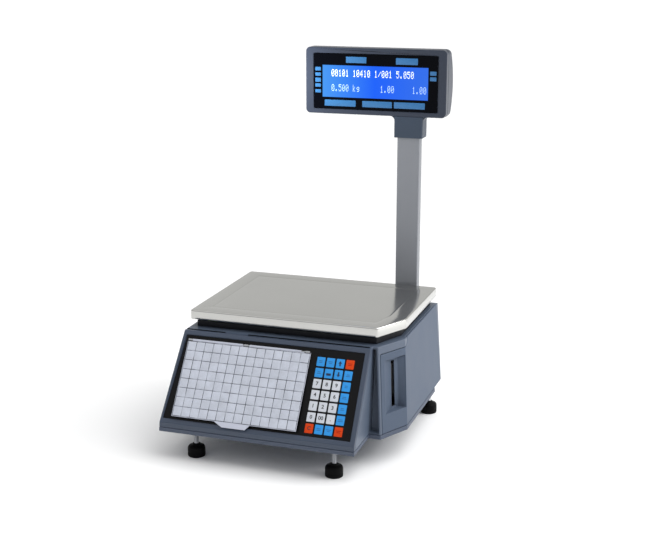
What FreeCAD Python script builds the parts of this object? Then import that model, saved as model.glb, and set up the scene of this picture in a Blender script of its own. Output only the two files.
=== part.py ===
import FreeCAD, Part
import math
import os
import Sketcher

# Label printing scale: a counter scale with a stainless platter, a sloped keyboard,
# a label printer drawer in its right side and a display head on a rear pole.
# Frame: millimetres, +Z up, +X to the right of the person at the keyboard, who faces +Y.
# The origin is on the ground, at the centre of the bounding box.

Vector = FreeCAD.Vector
Rotation = FreeCAD.Rotation
Placement = FreeCAD.Placement

doc = FreeCAD.newDocument("label_scale")
sheet = doc.addObject("Spreadsheet::Sheet", "Dims")
nodes = []


class Size:
    """A length that keeps both its value and the spreadsheet expression it comes from."""

    def __init__(self, text, value):
        self.text = text
        self.value = float(value)

    def __float__(self):
        return self.value

    def __add__(self, other):
        return combine(self, "+", other, self.value + float(other))

    def __radd__(self, other):
        return combine(other, "+", self, float(other) + self.value)

    def __sub__(self, other):
        return combine(self, "-", other, self.value - float(other))

    def __rsub__(self, other):
        return combine(other, "-", self, float(other) - self.value)

    def __mul__(self, other):
        return combine(self, "*", other, self.value * float(other))

    def __rmul__(self, other):
        return combine(other, "*", self, float(other) * self.value)

    def __truediv__(self, other):
        return combine(self, "/", other, self.value / float(other))

    def __neg__(self):
        return combine(0, "-", self, -self.value)


def text_of(size):
    if isinstance(size, Size):
        return size.text
    return "(%r)" % float(size)


def combine(left, sign, right, value):
    return Size("(%s %s %s)" % (text_of(left), sign, text_of(right)), value)


def root_of(size):
    return Size("sqrt(%s)" % text_of(size), math.sqrt(float(size)))


def angle_of(rise, run):
    degrees = math.degrees(math.atan2(float(rise), float(run)))
    return Size("atan2(%s; %s)" % (text_of(rise), text_of(run)), degrees)


def dimension(alias, value):
    """Write one driving dimension to the sheet and hand back its Size."""
    dimension.row += 1
    name_cell = "A%d" % dimension.row
    value_cell = "B%d" % dimension.row
    sheet.set(name_cell, alias)
    sheet.set(value_cell, "%.10g" % value)
    sheet.setAlias(value_cell, alias)
    return Size("Dims.%s" % alias, value)


dimension.row = 0


def bind(item, prop, size):
    """Set a property from a number, or tie it to the sheet when it is a Size."""
    if isinstance(size, Size):
        item.setExpression(prop, size.text)
        return
    if prop.startswith("Placement.Base."):
        base = item.Placement.Base
        setattr(base, prop[-1], float(size))
        item.Placement = Placement(base, item.Placement.Rotation)
        return
    setattr(item, prop, float(size))


def locate(item, x, y, z, axis=(0, 0, 1), angle=0):
    """Place an object, with its position and turn tied to the sheet where they are Sizes."""
    turn = Rotation(Vector(*axis), float(angle))
    item.Placement = Placement(Vector(float(x), float(y), float(z)), turn)
    for prop, size in (("x", x), ("y", y), ("z", z)):
        if isinstance(size, Size):
            item.setExpression("Placement.Base." + prop, size.text)
    if isinstance(angle, Size):
        item.setExpression("Placement.Rotation.Angle", angle.text)
    return item


def node(item, label):
    """Register an object as a sub-part to export under its label."""
    item.Label = label
    nodes.append(item)
    return item


# ---------------------------------------------------------------- primitives and booleans

def box(size_x, size_y, size_z, x, y, z, name="block"):
    """A box from its low corner."""
    item = doc.addObject("Part::Box", name)
    bind(item, "Length", size_x)
    bind(item, "Width", size_y)
    bind(item, "Height", size_z)
    return locate(item, x, y, z)


AXES = {"x": ((0, 1, 0), 90), "y": ((1, 0, 0), -90), "z": ((0, 0, 1), 0)}


def rod(radius, length, x, y, z, along="z", name="rod"):
    """A cylinder that starts at x, y, z and runs along one positive axis."""
    item = doc.addObject("Part::Cylinder", name)
    bind(item, "Radius", radius)
    bind(item, "Height", length)
    axis, angle = AXES[along]
    return locate(item, x, y, z, axis, angle)


def tube(radius, bore, length, x, y, z, along="z", name="tube"):
    outer = rod(radius, length, x, y, z, along)
    return cut(outer, [rod(bore, length, x, y, z, along)], name)


def fuse(items, name="joined"):
    item = doc.addObject("Part::MultiFuse", name)
    item.Shapes = items
    return item


def cut(base, tools, name="trimmed"):
    item = doc.addObject("Part::Cut", name)
    item.Base = base
    item.Tool = tools[0] if len(tools) == 1 else fuse(tools, "cutters")
    return item


def common(first, second, name="overlap"):
    item = doc.addObject("Part::Common", name)
    item.Base = first
    item.Tool = second
    return item


def group(items, name="group"):
    """Several separate solids of one kind in one node."""
    item = doc.addObject("Part::Compound", name)
    item.Links = items
    return item


# ---------------------------------------------------------------- sketches and bodies

def new_body(name):
    return doc.addObject("PartDesign::Body", name)


def new_sketch(body, plane, offset=0, name="outline"):
    """A sketch on one of the body's own origin planes, moved along the plane's normal."""
    sketch = body.newObject("Sketcher::SketchObject", name)
    origin_plane = [f for f in body.Origin.OriginFeatures if f.Role == plane + "_Plane"][0]
    sketch.AttachmentSupport = [(origin_plane, "")]
    sketch.MapMode = "FlatFace"
    sketch.AttachmentOffset = Placement(Vector(0, 0, float(offset)), Rotation())
    if isinstance(offset, Size):
        sketch.setExpression("AttachmentOffset.Base.z", offset.text)
    return sketch


def pin_down(sketch, kind, geometry, point, size, name):
    """Fix one coordinate of a point of a sketch element to a size."""
    index = sketch.addConstraint(Sketcher.Constraint(kind, geometry, point, float(size)))
    if isinstance(size, Size):
        sketch.renameConstraint(index, name)
        sketch.setExpression("Constraints." + name, size.text)


def add_polygon(sketch, points):
    """A closed outline of straight edges, each corner held by its two coordinates."""
    first = sketch.GeometryCount
    count = len(points)
    spots = [Vector(float(x), float(y), 0) for x, y in points]
    for i in range(count):
        sketch.addGeometry(Part.LineSegment(spots[i], spots[(i + 1) % count]), False)
    for i in range(count):
        edge = first + i
        sketch.addConstraint(Sketcher.Constraint("Coincident", edge, 2, first + (i + 1) % count, 1))
        pin_down(sketch, "DistanceX", edge, 1, points[i][0], "across%d" % edge)
        pin_down(sketch, "DistanceY", edge, 1, points[i][1], "along%d" % edge)


def add_pad(body, sketch, length, reverse=False, name="pad"):
    pad = body.newObject("PartDesign::Pad", name)
    pad.Profile = sketch
    bind(pad, "Length", length)
    pad.Reversed = reverse
    return pad


def add_pocket(body, sketch, length, reverse=False, name="pocket"):
    pocket = body.newObject("PartDesign::Pocket", name)
    pocket.Profile = sketch
    bind(pocket, "Length", length)
    pocket.Reversed = reverse
    return pocket


def slab(name, points, low, thickness, plane="XY"):
    """A body made by padding one outline from a level along the plane's normal."""
    body = new_body(name)
    sketch = new_sketch(body, plane, low)
    add_polygon(sketch, points)
    add_pad(body, sketch, thickness)
    return body


def tapered(name, low_points, low, high_points, high):
    """A body with straight drafted sides between two outlines at two levels."""
    body = new_body(name)
    lower = new_sketch(body, "XY", low, "lower")
    add_polygon(lower, low_points)
    upper = new_sketch(body, "XY", high, "upper")
    add_polygon(upper, high_points)
    loft = body.newObject("PartDesign::AdditiveLoft", "loft")
    loft.Profile = lower
    loft.Sections = [upper]
    loft.Ruled = True
    return body


def soften(base, radius, wanted, name="softened"):
    """Round the edges of a finished shape that a test picks out."""
    doc.recompute()
    picked = [i + 1 for i, edge in enumerate(base.Shape.Edges) if wanted(edge)]
    item = doc.addObject("Part::Fillet", name)
    item.Base = base
    item.Edges = [(i, float(radius), float(radius)) for i in picked]
    return item


def runs_along(edge, axis):
    """True for a straight edge parallel to an axis, within a few degrees."""
    ends = [v.Point for v in edge.Vertexes]
    if len(ends) != 2 or edge.Curve.TypeId != "Part::GeomLine":
        return False
    way = (ends[1] - ends[0]).normalize()
    return abs(way.dot(Vector(*axis))) > 0.985


# ---------------------------------------------------------------- driving dimensions

# Body outline: the sides, the notch and the label face lean outwards towards the ground.
floor_z = dimension("floor_z", 47.5)
seam_z = dimension("seam_z", 54.5)
deck_z = dimension("deck_z", 197.5)
wall = dimension("wall", 3)
gap = dimension("gap", 0.4)
half_low = dimension("half_low", 193.3)
half_top = dimension("half_top", 182)
front_y = dimension("front_y", -213.6)
rear_low_y = dimension("rear_low_y", 159.5)
rear_top_y = dimension("rear_top_y", 166)
step_x = dimension("step_x", 143.6)
notch_low_y = dimension("notch_low_y", -134.8)
notch_top_y = dimension("notch_top_y", -116.2)
label_face_x = dimension("label_face_x", 29.5)
label_face_y = dimension("label_face_y", 57.5)

# Keyboard slope.
crease_low_z = dimension("crease_low_z", 63.5)
crease_top_y = dimension("crease_top_y", -127.4)
bezel_thick = dimension("bezel_thick", 6)
key_left = dimension("key_left", -176)
key_left_low = dimension("key_left_low", -188)
key_right = dimension("key_right", 135.5)
key_low = dimension("key_low", 7.5)
key_high = dimension("key_high", 152)
key_recess = dimension("key_recess", 2.2)
film_thick = dimension("film_thick", 0.8)
page_left = dimension("page_left", -171)
page_right = dimension("page_right", 46)
page_low = dimension("page_low", 11.5)
page_high = dimension("page_high", 141)
page_thick = dimension("page_thick", 0.8)

# Platter and weighing mechanism.
platter_x = dimension("platter_x", 360)
platter_y = dimension("platter_y", 272)
platter_mid_y = dimension("platter_mid_y", 27)
platter_top = dimension("platter_top", 227.5)
platter_rim = dimension("platter_rim", 16)
platter_sheet = dimension("platter_sheet", 1.5)
platter_cut_x = dimension("platter_cut_x", 31)
platter_cut_y = dimension("platter_cut_y", 63.5)
cell_x = dimension("cell_x", -12)
cell_z = dimension("cell_z", 112)
cell_long = dimension("cell_long", 130)
cell_wide = dimension("cell_wide", 30)
cell_high = dimension("cell_high", 22)

# Pole and display head.
pole_x = dimension("pole_x", 121)
pole_y = dimension("pole_y", 170)
pole_wide = dimension("pole_wide", 41)
pole_deep = dimension("pole_deep", 17.5)
pole_wall = dimension("pole_wall", 1.5)
pole_low = dimension("pole_low", 66)
pole_top = dimension("pole_top", 512)
neck_low = dimension("neck_low", 493)
head_low = dimension("head_low", 530.5)
head_top = dimension("head_top", 647.5)
head_left = dimension("head_left", -68.8)
head_right = dimension("head_right", 188.2)
head_front = dimension("head_front", 166.2)
head_deep = dimension("head_deep", 50.1)
head_deep_top = dimension("head_deep_top", 28.5)
head_deep_low = dimension("head_deep_low", 31)

# Printer drawer.
door_wall = dimension("door_wall", 3)
door_gap = dimension("door_gap", 0.8)
pillar = dimension("pillar", 5.5)
door_rear = dimension("door_rear", 152)
door_band_z = dimension("door_band_z", 184)
roll_radius = dimension("roll_radius", 48)
roll_low = dimension("roll_low", 96)
roll_high = dimension("roll_high", 60)
roll_x = dimension("roll_x", 124)
roll_y = dimension("roll_y", 86)
chassis_z = dimension("chassis_z", 72)
chassis_thick = dimension("chassis_thick", 2)
chassis_left = dimension("chassis_left", 36)
platen_radius = dimension("platen_radius", 7)
gear_module = dimension("gear_module", 0.8)

# Feet.
foot_radius = dimension("foot_radius", 14.7)
foot_high = dimension("foot_high", 18)
stud_radius = dimension("stud_radius", 4)
stud_bore = dimension("stud_bore", 4.05)
doc.recompute()

slope_run = crease_top_y - front_y
slope_rise = deck_z - crease_low_z
slope_long = root_of(slope_run * slope_run + slope_rise * slope_rise)
slope_angle = angle_of(slope_rise, slope_run)

# Direction along the label face, towards the rear, and its slant measures.
slant = label_face_x / label_face_y
slant_long = root_of(1 + slant * slant)
face_long = root_of(label_face_x * label_face_x + label_face_y * label_face_y)
along_x = label_face_x / face_long
along_y = label_face_y / face_long


def level_mix(low, top, level):
    """A size that changes evenly from the body's floor to its deck, at one height."""
    return low + (top - low) * (level - floor_z) / (deck_z - floor_z)


def side_x(level):
    return level_mix(half_low, half_top, level)


def notch_y(level):
    return level_mix(notch_low_y, notch_top_y, level)


def rear_y(level):
    return level_mix(rear_low_y, rear_top_y, level)


def body_outline(level, inset=0):
    """The body's plan at one height, moved inwards by the same amount on every side."""
    back = rear_y(level) - inset
    side = side_x(level) - inset
    corner_x = side_x(level) - label_face_x
    notch = notch_y(level)
    turn_x = corner_x + slant * inset - slant_long * inset
    turn_y = notch + (label_face_x - inset + slant_long * inset) / slant
    return [(-side, front_y + inset), (step_x - inset, front_y + inset),
            (step_x - inset, notch + inset), (turn_x, notch + inset),
            (side, turn_y), (side, back), (-side, back)]


def body_shell(name, low, high, inset=0):
    return tapered(name, body_outline(low, inset), low, body_outline(high, inset), high)


def slope_prism(name, depth, low_z):
    """Everything in front of the keyboard slope, moved inwards by a depth."""
    shift = depth * slope_long / slope_rise
    far = front_y - 60
    points = [(front_y + shift, low_z), (front_y + shift, crease_low_z),
              (crease_top_y + shift, deck_z), (crease_top_y + shift, deck_z + 40),
              (far, deck_z + 40), (far, low_z)]
    return slab(name, points, -260, 520, "YZ")


def on_slope(item):
    """Place a piece drawn flat, x across and y up the slope, onto the keyboard slope."""
    return locate(item, 0, front_y, crease_low_z, (1, 0, 0), slope_angle)


# ---------------------------------------------------------------- casing

FEET = {"front_left": (-140, -184), "front_right": (103, -190),
        "rear_left": (-177, 133), "rear_right": (177, 133)}
REACH = 260
STANDOFF = 8


def door_edges(name, spread, right_of):
    """The drawer front's outline seen from the right, grown by a gap, as a long prism along X."""
    arc = 14
    turns = [math.radians(step * 15) for step in range(7)]
    low = seam_z + 2 * gap - spread
    high = door_band_z + spread
    seam_low = notch_y(low) + pillar * along_y - spread
    seam_high = notch_y(high) + pillar * along_y - spread
    bend_y = notch_top_y + label_face_y
    points = [(seam_low, low), (door_rear + spread, low), (door_rear + spread, deck_z + 6)]
    points.append((bend_y + arc - spread, deck_z + 6))
    for turn in reversed(turns):
        points.append((bend_y + arc * math.sin(turn) - spread * math.sin(turn),
                       high + arc - arc * math.cos(turn)))
    points.append((seam_high, high))
    return slab(name, points, right_of, REACH - right_of, "YZ")


def build_bottom_tray():
    """The steel pan that carries everything, with a raised shelf at the rear."""
    shelf_y = 113
    shelf_z = 55.5
    shelf_half = 188
    pan = body_shell("pan", floor_z, seam_z)
    hollow = body_shell("pan_hollow", floor_z + wall, seam_z + 4, wall)
    trim = box(2 * REACH, 100, 40, -REACH, shelf_y, 30)
    pan = cut(pan, [hollow, trim])
    riser = box(2 * shelf_half, wall, shelf_z + wall - floor_z, -shelf_half, shelf_y - wall, floor_z)
    shelf = box(2 * shelf_half, 43.6, wall, -shelf_half, shelf_y - wall, shelf_z)
    pieces = [pan, riser, shelf]
    bores = []
    for place, (x, y) in FEET.items():
        base = shelf_z if place.startswith("rear") else floor_z
        pieces.append(rod(8, 61 - base, x, y, base))
        bores.append(rod(stud_bore, 40, x, y, floor_z - 10))
    for x in (-168, -58):
        for y in (-108, 6):
            pieces.append(rod(3.5, wall + STANDOFF, x, y, floor_z))
    return node(cut(fuse(pieces), bores), "bottom_tray")


def build_door_space():
    """The room that the drawer front needs in the casing wall."""
    ring = cut(body_shell("ring", seam_z - 1, deck_z + 1, -1),
               [body_shell("ring_inside", seam_z - 2, deck_z + 2, door_wall + gap)])
    return common(ring, door_edges("door_room", door_gap, 100))


def finger_groove(name, widen, deepen, low, high):
    """The upright finger recess in the notch, between the keyboard wedge and the label face."""
    depth = 16
    lip = 3.2
    outlines = []
    for level in (low, high):
        left = step_x - widen
        right = side_x(level) - label_face_x - lip + widen
        front = notch_y(level) - (0 if deepen else 20)
        back = notch_y(level) + depth + deepen
        outlines.append([(left, front), (right, front), (right, back), (left, back)])
    return tapered(name, outlines[0], low, outlines[1], high)


def build_upper_housing():
    """The moulded casing: deck, sides, rear wall and the notch beside the keyboard wedge."""
    outer = body_shell("housing_outer", seam_z + gap, deck_z)
    inner = body_shell("housing_inner", seam_z - 2, deck_z - wall, wall)
    front = slope_prism("front_opening", bezel_thick + gap, seam_z - 10)
    shell = cut(outer, [inner, front])
    skin = 1.5
    top = deck_z - wall - 1
    groove_case = finger_groove("groove_case", skin, skin, seam_z + 1, top + skin)
    hub_hole = box(46, 39, 20, cell_x - 23, platter_mid_y - 68, deck_z - 10)
    io_hole = box(222, 30, 56, -180, 145, 68)
    cutters = [build_door_space(), finger_groove("groove", 0, 0, seam_z + 1 + skin, top), hub_hole, io_hole]
    return node(cut(fuse([shell, groove_case]), cutters), "upper_housing")


def build_splash_collar():
    """The upstand on the deck that keeps drips out from under the platter."""
    inset = 9
    outer = slab("collar_outer", platter_outline(inset), deck_z, 10)
    inner = slab("collar_inner", platter_outline(inset + 3), deck_z - 1, 12)
    return node(cut(outer, [inner]), "splash_collar")


def keyboard_outline(margin=0):
    return [(key_left_low + margin, key_low + margin), (key_right - margin, key_low + margin),
            (key_right - margin, key_high - margin), (key_left + margin, key_high - margin)]


def build_keyboard():
    """The sloped front frame with the key film, its circuit board and backing plate."""
    solid = cut(body_shell("wedge", seam_z + gap, deck_z), [slope_prism("wedge_front", 0, seam_z - 10)])
    frame = common(solid, slope_prism("wedge_back", bezel_thick, seam_z - 10))
    recess = on_slope(slab("film_recess", keyboard_outline(), -key_recess, 10))
    window = on_slope(slab("board_window", keyboard_outline(6), -20, 30))
    groove = box(2 * REACH, 2.4, 4, -REACH, crease_top_y + 5, deck_z - 2.5)
    tab = box(40, 5.5, 2, -110, crease_top_y + 1.2, deck_z - 1.3)
    node(fuse([cut(frame, [recess, window, groove]), tab]), "keyboard_bezel")
    film = slab("film", keyboard_outline(0.3), -key_recess, film_thick)
    node(on_slope(film), "keyboard_membrane")
    board = slab("board", keyboard_outline(6.5), -key_recess - 1.8, 1.6)
    node(on_slope(board), "keyboard_circuit_board")


HINGE_V = 143.5
HINGE_W = 0.5
PAGE_TILT = Size("1.8 deg", 1.8)


def slope_point(v, w):
    """Y and Z of a point v up the keyboard slope and w above it."""
    rise = slope_rise / slope_long
    run = slope_run / slope_long
    return front_y + v * run - w * rise, crease_low_z + v * rise + w * run


def build_key_page():
    """The hinged page of product keys with its pull tab, and the wire that it turns on."""
    sleeve = 1.6
    page_long = HINGE_V - page_low
    tab_drop = 8.3
    outline = [(page_left, -1), (page_left, -page_long), (-95.5, -page_long),
               (-80.5, -page_long - tab_drop), (-40, -page_long - tab_drop), (-33, -page_long),
               (page_right, -page_long), (page_right, -1)]
    leaf = slab("leaf", outline, -page_thick / 2, page_thick)
    spans = [(page_left + 8, 90), (page_left + 110, 90)]
    knuckles = [rod(sleeve, length, x, 0, 0, "x") for x, length in spans]
    bores = [rod(0.88, page_right - page_left + 2, page_left - 1, 0, 0, "x")]
    lug_places = (page_left + 3, page_left + 104, page_right - 6)
    lug_room = [box(10.6, 5.4, 6, x - 5.3, -2.7, -3) for x in lug_places]
    page = cut(fuse([leaf] + knuckles), bores + lug_room)
    y, z = slope_point(HINGE_V, HINGE_W)
    node(locate(page, 0, y, z, (1, 0, 0), slope_angle - PAGE_TILT), "key_page")
    wire = rod(0.8, page_right - page_left - 3, page_left + 1, 0, 0, "x")
    lugs = [box(7, 2.6, 3.1, x - 3.5, -1.3, -1.85) for x in (page_left + 4, page_left + 104, page_right - 6)]
    node(locate(fuse([wire] + lugs), 0, y, z, (1, 0, 0), slope_angle), "key_page_hinge")


# ---------------------------------------------------------------- platter and weighing

def platter_outline(margin):
    half_x = platter_x / 2 - margin
    low_y = platter_mid_y - platter_y / 2 + margin
    high_y = platter_mid_y + platter_y / 2 - margin
    easing = margin * 0.6
    return [(-half_x, low_y), (half_x - platter_cut_x + easing, low_y),
            (half_x, low_y + platter_cut_y - easing), (half_x, high_y), (-half_x, high_y)]


def build_platter():
    """The stainless pan: a flat top with a folded rim and a shallow pressed border."""
    low = platter_top - platter_rim
    body = slab("platter_body", platter_outline(0), low, platter_rim)
    hollow = new_sketch(body, "XY", low, "hollow")
    add_polygon(hollow, platter_outline(platter_sheet))
    add_pocket(body, hollow, platter_rim - platter_sheet, True)
    border = new_sketch(body, "XY", platter_top, "border")
    add_polygon(border, platter_outline(28))
    add_polygon(border, platter_outline(29.6))
    add_pocket(body, border, 0.5)
    return node(body, "platter")


def build_weighing():
    """The load cell, its brackets and the black carrier that the platter rests on."""
    low_y = platter_mid_y - cell_long / 2
    end = 37
    half = cell_wide / 2
    bar = box(cell_wide, cell_long, cell_high, cell_x - half, low_y, cell_z)
    holes = []
    side = cell_x - half - 1
    middle = cell_z + cell_high / 2
    for shift in (-13, 13):
        holes.append(rod(8, cell_wide + 2, side, platter_mid_y + shift, middle, "x"))
    holes.append(box(cell_wide + 2, 26, 5, side, platter_mid_y - 13, middle - 2.5))
    for y in (low_y + 10, low_y + 28, low_y + cell_long - 28, low_y + cell_long - 10):
        holes.append(rod(3.2, cell_high + 2, cell_x, y, cell_z - 1))
    node(cut(bar, holes), "load_cell")

    rear_y0 = low_y + cell_long - end
    foot = box(70, 44, 6, cell_x - 35, rear_y0 - 4, floor_z + wall)
    post = box(cell_wide, end, cell_z - floor_z - wall, cell_x - half, rear_y0, floor_z + wall)
    rear_screws = (low_y + cell_long - 28, low_y + cell_long - 10)
    screw_room = [rod(3.2, 30, cell_x, y, cell_z - 25) for y in rear_screws]
    node(cut(fuse([foot, post]), screw_room), "load_cell_base")

    top = cell_z + cell_high
    plate = box(cell_wide, end, 6, cell_x - half, low_y, top)
    column = box(cell_wide, 21, deck_z + 1 - top, cell_x - half, low_y, top)
    holes = [rod(3.2, 90, cell_x, y, top - 2) for y in (low_y + 10,)]
    holes.append(rod(3.2, 8, cell_x, low_y + 28, top - 1))
    node(cut(fuse([plate, column]), holes), "load_cell_top_bracket")

    screws = []
    for y in rear_screws:
        screws.append(fuse([rod(3, cell_high + 22, cell_x, y, cell_z - 20), rod(5, 5, cell_x, y, top)]))
    shank = rod(3, cell_high + 3, cell_x, low_y + 28, cell_z + 3)
    screws.append(fuse([shank, rod(5, 5, cell_x, low_y + 28, top + 6)]))
    node(group(screws), "load_cell_screws")

    hub = box(60, 60, 4, cell_x - 30, low_y - 10, deck_z + 1)
    spine = box(36, 222, 4, cell_x - 18, platter_mid_y - 105, deck_z + 1)
    arms = []
    posts = []
    bores = []
    pads = []
    for y in (-92, 92):
        arms.append(box(290, 22, 4, -145, platter_mid_y + y - 11, deck_z + 1))
        for x in (-130, 130):
            top = platter_top - platter_sheet - 0.3
            posts.append(rod(9, top - 6 - deck_z - 1, x, platter_mid_y + y, deck_z + 1))
            bores.append(rod(3, 8, x, platter_mid_y + y, top - 13))
            stem = rod(2.95, 6, x, platter_mid_y + y, top - 12)
            pads.append(fuse([rod(9, 5.95, x, platter_mid_y + y, top - 5.95), stem]))
    node(cut(fuse([hub, spine] + arms + posts), bores), "platter_carrier")
    node(group(pads), "platter_pads")

    stop = fuse([rod(3, cell_z - 0.6 - floor_z - wall, cell_x, low_y + 12, floor_z + wall),
                 rod(8, 8, cell_x, low_y + 12, floor_z + wall)])
    node(stop, "overload_stop")
    level_x, level_y = -150, platter_mid_y - 112
    level_cup = cut(rod(9, 6, level_x, level_y, deck_z), [rod(7, 4, level_x, level_y, deck_z + 2.5)])
    node(level_cup, "spirit_level")


# ---------------------------------------------------------------- feet

def build_feet():
    """Four rubber feet on threaded studs, each with a lock nut under the casing."""
    nuts = []
    for place, (x, y) in FEET.items():
        pad = cut(rod(foot_radius, foot_high, x, y, 0), [rod(foot_radius - 4, 1.5, x, y, -0.5)])
        cone = doc.addObject("Part::Cone", "cone")
        bind(cone, "Radius1", foot_radius - 3)
        bind(cone, "Radius2", stud_radius + 2)
        bind(cone, "Height", 4)
        locate(cone, x, y, foot_high)
        stud = rod(stud_radius, 62 - foot_high, x, y, foot_high)
        node(fuse([pad, cone, stud]), "foot_" + place)
        nut = doc.addObject("Part::Prism", "nut")
        nut.Polygon = 6
        bind(nut, "Circumradius", 7.5)
        bind(nut, "Height", 6)
        locate(nut, x, y, (55.5 if place.startswith("rear") else floor_z) - 6.1)
        nuts.append(cut(nut, [rod(stud_bore, 20, x, y, 40)]))
    node(group(nuts), "foot_lock_nuts")


# ---------------------------------------------------------------- electronics and rear sockets

def build_electronics():
    """The main circuit board and the power supply, on the left of the tray."""
    board_z = floor_z + wall + STANDOFF
    board = box(122, 126, 1.6, -174, -114, board_z)
    parts = [box(30, 30, 3, -130, -60, board_z + 1), box(18, 12, 2.5, -160, -30, board_z + 1),
             box(14, 14, 2, -90, -20, board_z + 1), box(42, 8, 9, -150, -108, board_z + 1),
             box(10, 30, 9, -68, -60, board_z + 1), rod(5, 13, -80, -96, board_z + 1),
             rod(5, 13, -66, -96, board_z + 1), box(16, 10, 8, -168, -4, board_z + 1)]
    node(fuse([board] + parts), "main_circuit_board")
    low = floor_z + wall
    cage = box(96, 92, 38, -176, 15, low)
    hollow = box(93.6, 89.6, 40, -174.8, 16.2, low + 1.2)
    parts = [box(88, 84, 1.6, -172, 19, low + 6), box(26, 24, 22, -150, 47, low + 7),
             rod(9, 26, -105, 37, low + 7), rod(7, 22, -105, 77, low + 7), box(4, 50, 24, -168, 37, low + 7)]
    for x in (-166, -90):
        for y in (25, 97):
            parts.append(rod(3, 6, x, y, low + 0.5))
    node(fuse([cut(cage, [hollow])] + parts), "power_supply")


SOCKETS = {"power_inlet": (-150, 29, 21), "power_switch_frame": (-112, 15, 21), "lan_socket": (-76, 17, 14),
           "usb_socket": (-44, 15, 8), "serial_socket": (-4, 31, 12.5)}
SOCKET_Z = 96


def build_rear_panel():
    """The steel plate behind the rear cut-out, with the power inlet and the data sockets."""
    plate_y = 153.6
    panel = box(230, 1.5, 72, -183, plate_y, 57)
    holes = []
    for x, wide, high in SOCKETS.values():
        holes.append(box(wide, 6, high, x - wide / 2, plate_y - 2, SOCKET_Z - high / 2))
    node(cut(panel, holes), "rear_panel")
    rear = plate_y + 1.5

    x, wide, high = SOCKETS["power_inlet"]
    shell = fuse([box(wide - 0.4, 24, high - 0.4, x - wide / 2 + 0.2, rear - 23.5, SOCKET_Z - high / 2 + 0.2),
                  box(wide + 4, 2, high + 4, x - wide / 2 - 2, rear, SOCKET_Z - high / 2 - 2)])
    mouth = box(24.4, 18, 16.4, x - 12.2, rear - 14, SOCKET_Z - 8.2)
    pins = []
    for shift, lift in ((-7, -1.5), (0, 2), (7, -1.5)):
        pins.append(box(2, 12, 4, x + shift - 1, rear - 17, SOCKET_Z + lift - 2))
    node(fuse([cut(shell, [mouth])] + pins), "power_inlet")

    x, wide, high = SOCKETS["power_switch_frame"]
    frame = fuse([box(wide - 0.4, 16, high - 0.4, x - wide / 2 + 0.2, rear - 15.5, SOCKET_Z - high / 2 + 0.2),
                  box(wide + 3, 1.6, high + 3, x - wide / 2 - 1.5, rear, SOCKET_Z - high / 2 - 1.5)])
    room = box(wide - 3, 12, high - 3, x - wide / 2 + 1.5, rear - 8, SOCKET_Z - high / 2 + 1.5)
    pivot = rod(1.2, wide - 1, x - wide / 2 + 0.5, rear - 1.4, SOCKET_Z, "x")
    node(fuse([cut(frame, [room]), pivot]), "power_switch_frame")
    key_half = high / 2 - 2.9
    profile = [(rear - 4.4, SOCKET_Z - key_half), (rear + 0.4, SOCKET_Z - key_half), (rear + 1.4, SOCKET_Z),
               (rear + 4, SOCKET_Z + key_half), (rear - 1.6, SOCKET_Z + key_half)]
    rocker = slab("rocker", profile, x - wide / 2 + 1.9, wide - 3.8, "YZ")
    node(cut(rocker, [rod(1.25, wide, x - wide / 2, rear - 1.4, SOCKET_Z, "x")]), "power_switch")

    for name, depth, hole_x, hole_z in (("lan_socket", 16, 12, 9), ("usb_socket", 14, 12.6, 5.4)):
        x, wide, high = SOCKETS[name]
        low = SOCKET_Z - high / 2 + 0.2
        shell = box(wide - 0.4, depth, high - 0.4, x - wide / 2 + 0.2, rear - depth + 1, low)
        mouth = box(hole_x, depth - 3, hole_z, x - hole_x / 2, rear - depth + 4, SOCKET_Z - hole_z / 2)
        node(cut(shell, [mouth]), name)
    x, wide, high = SOCKETS["serial_socket"]
    shell = box(wide - 0.4, 11, high - 0.4, x - wide / 2 + 0.2, rear - 8, SOCKET_Z - high / 2 + 0.2)
    face = box(17, 5, 8.4, x - 8.5, rear + 2, SOCKET_Z - 4.2)
    nuts = [rod(2.4, 4, x + shift, rear + 1, SOCKET_Z, "y") for shift in (-12.5, 12.5)]
    node(fuse([shell, face] + nuts), "serial_socket")


# ---------------------------------------------------------------- pole and display head

CABLE_X = 9


def build_pole():
    """The pole, the bracket that holds it behind the casing, its screws and the cable inside."""
    left = pole_x - pole_wide / 2
    outer = box(pole_wide, pole_deep, pole_top - pole_low, left, pole_y, pole_low)
    rounded = soften(outer, 2, lambda edge: runs_along(edge, (0, 0, 1)))
    bore = box(pole_wide - 2 * pole_wall, pole_deep - 2 * pole_wall, pole_top - pole_low + 2,
               left + pole_wall, pole_y + pole_wall, pole_low - 1)
    slot = box(14, 10, 18, pole_x - 7, pole_y - 3, pole_low + 6)
    pole = cut(rounded, [bore, slot])
    high = 112
    side = 6
    block = box(pole_wide + 2 * side, pole_y + pole_deep + 5 - 150, high, left - side, 150, pole_low - 4)
    block = soften(block, 3, lambda edge: runs_along(edge, (0, 0, 1)) and edge.CenterOfMass.y > 170)
    casing = body_shell("casing_solid", seam_z - 20, deck_z + 20)
    well = box(pole_wide + 0.3, pole_deep + 0.3, high, left - 0.15, pole_y - 0.15, pole_low)
    cable_way = rod(5, 30, pole_x, 145, pole_low + 15, "y")
    screw_levels = (pole_low + 30, pole_low + 88)
    bores = [rod(2.1, 60, pole_x, 160, z, "y") for z in screw_levels]
    node(cut(block, [casing, well, cable_way] + bores), "pole_bracket")
    node(cut(pole, [rod(2.1, 60, pole_x, 160, z, "y") for z in screw_levels]), "pole")
    screws = []
    for z in screw_levels:
        head = rod(3.8, 2.4, pole_x, pole_y + pole_deep + 5, z, "y")
        screws.append(fuse([rod(2, 28, pole_x, 165, z, "y"), head]))
    node(group(screws), "pole_screws")
    cable_low = pole_low + 26
    cable = rod(2.5, pole_top + 28 - cable_low, pole_x + CABLE_X, pole_y + pole_deep / 2, cable_low)
    node(cable, "display_cable")


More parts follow.
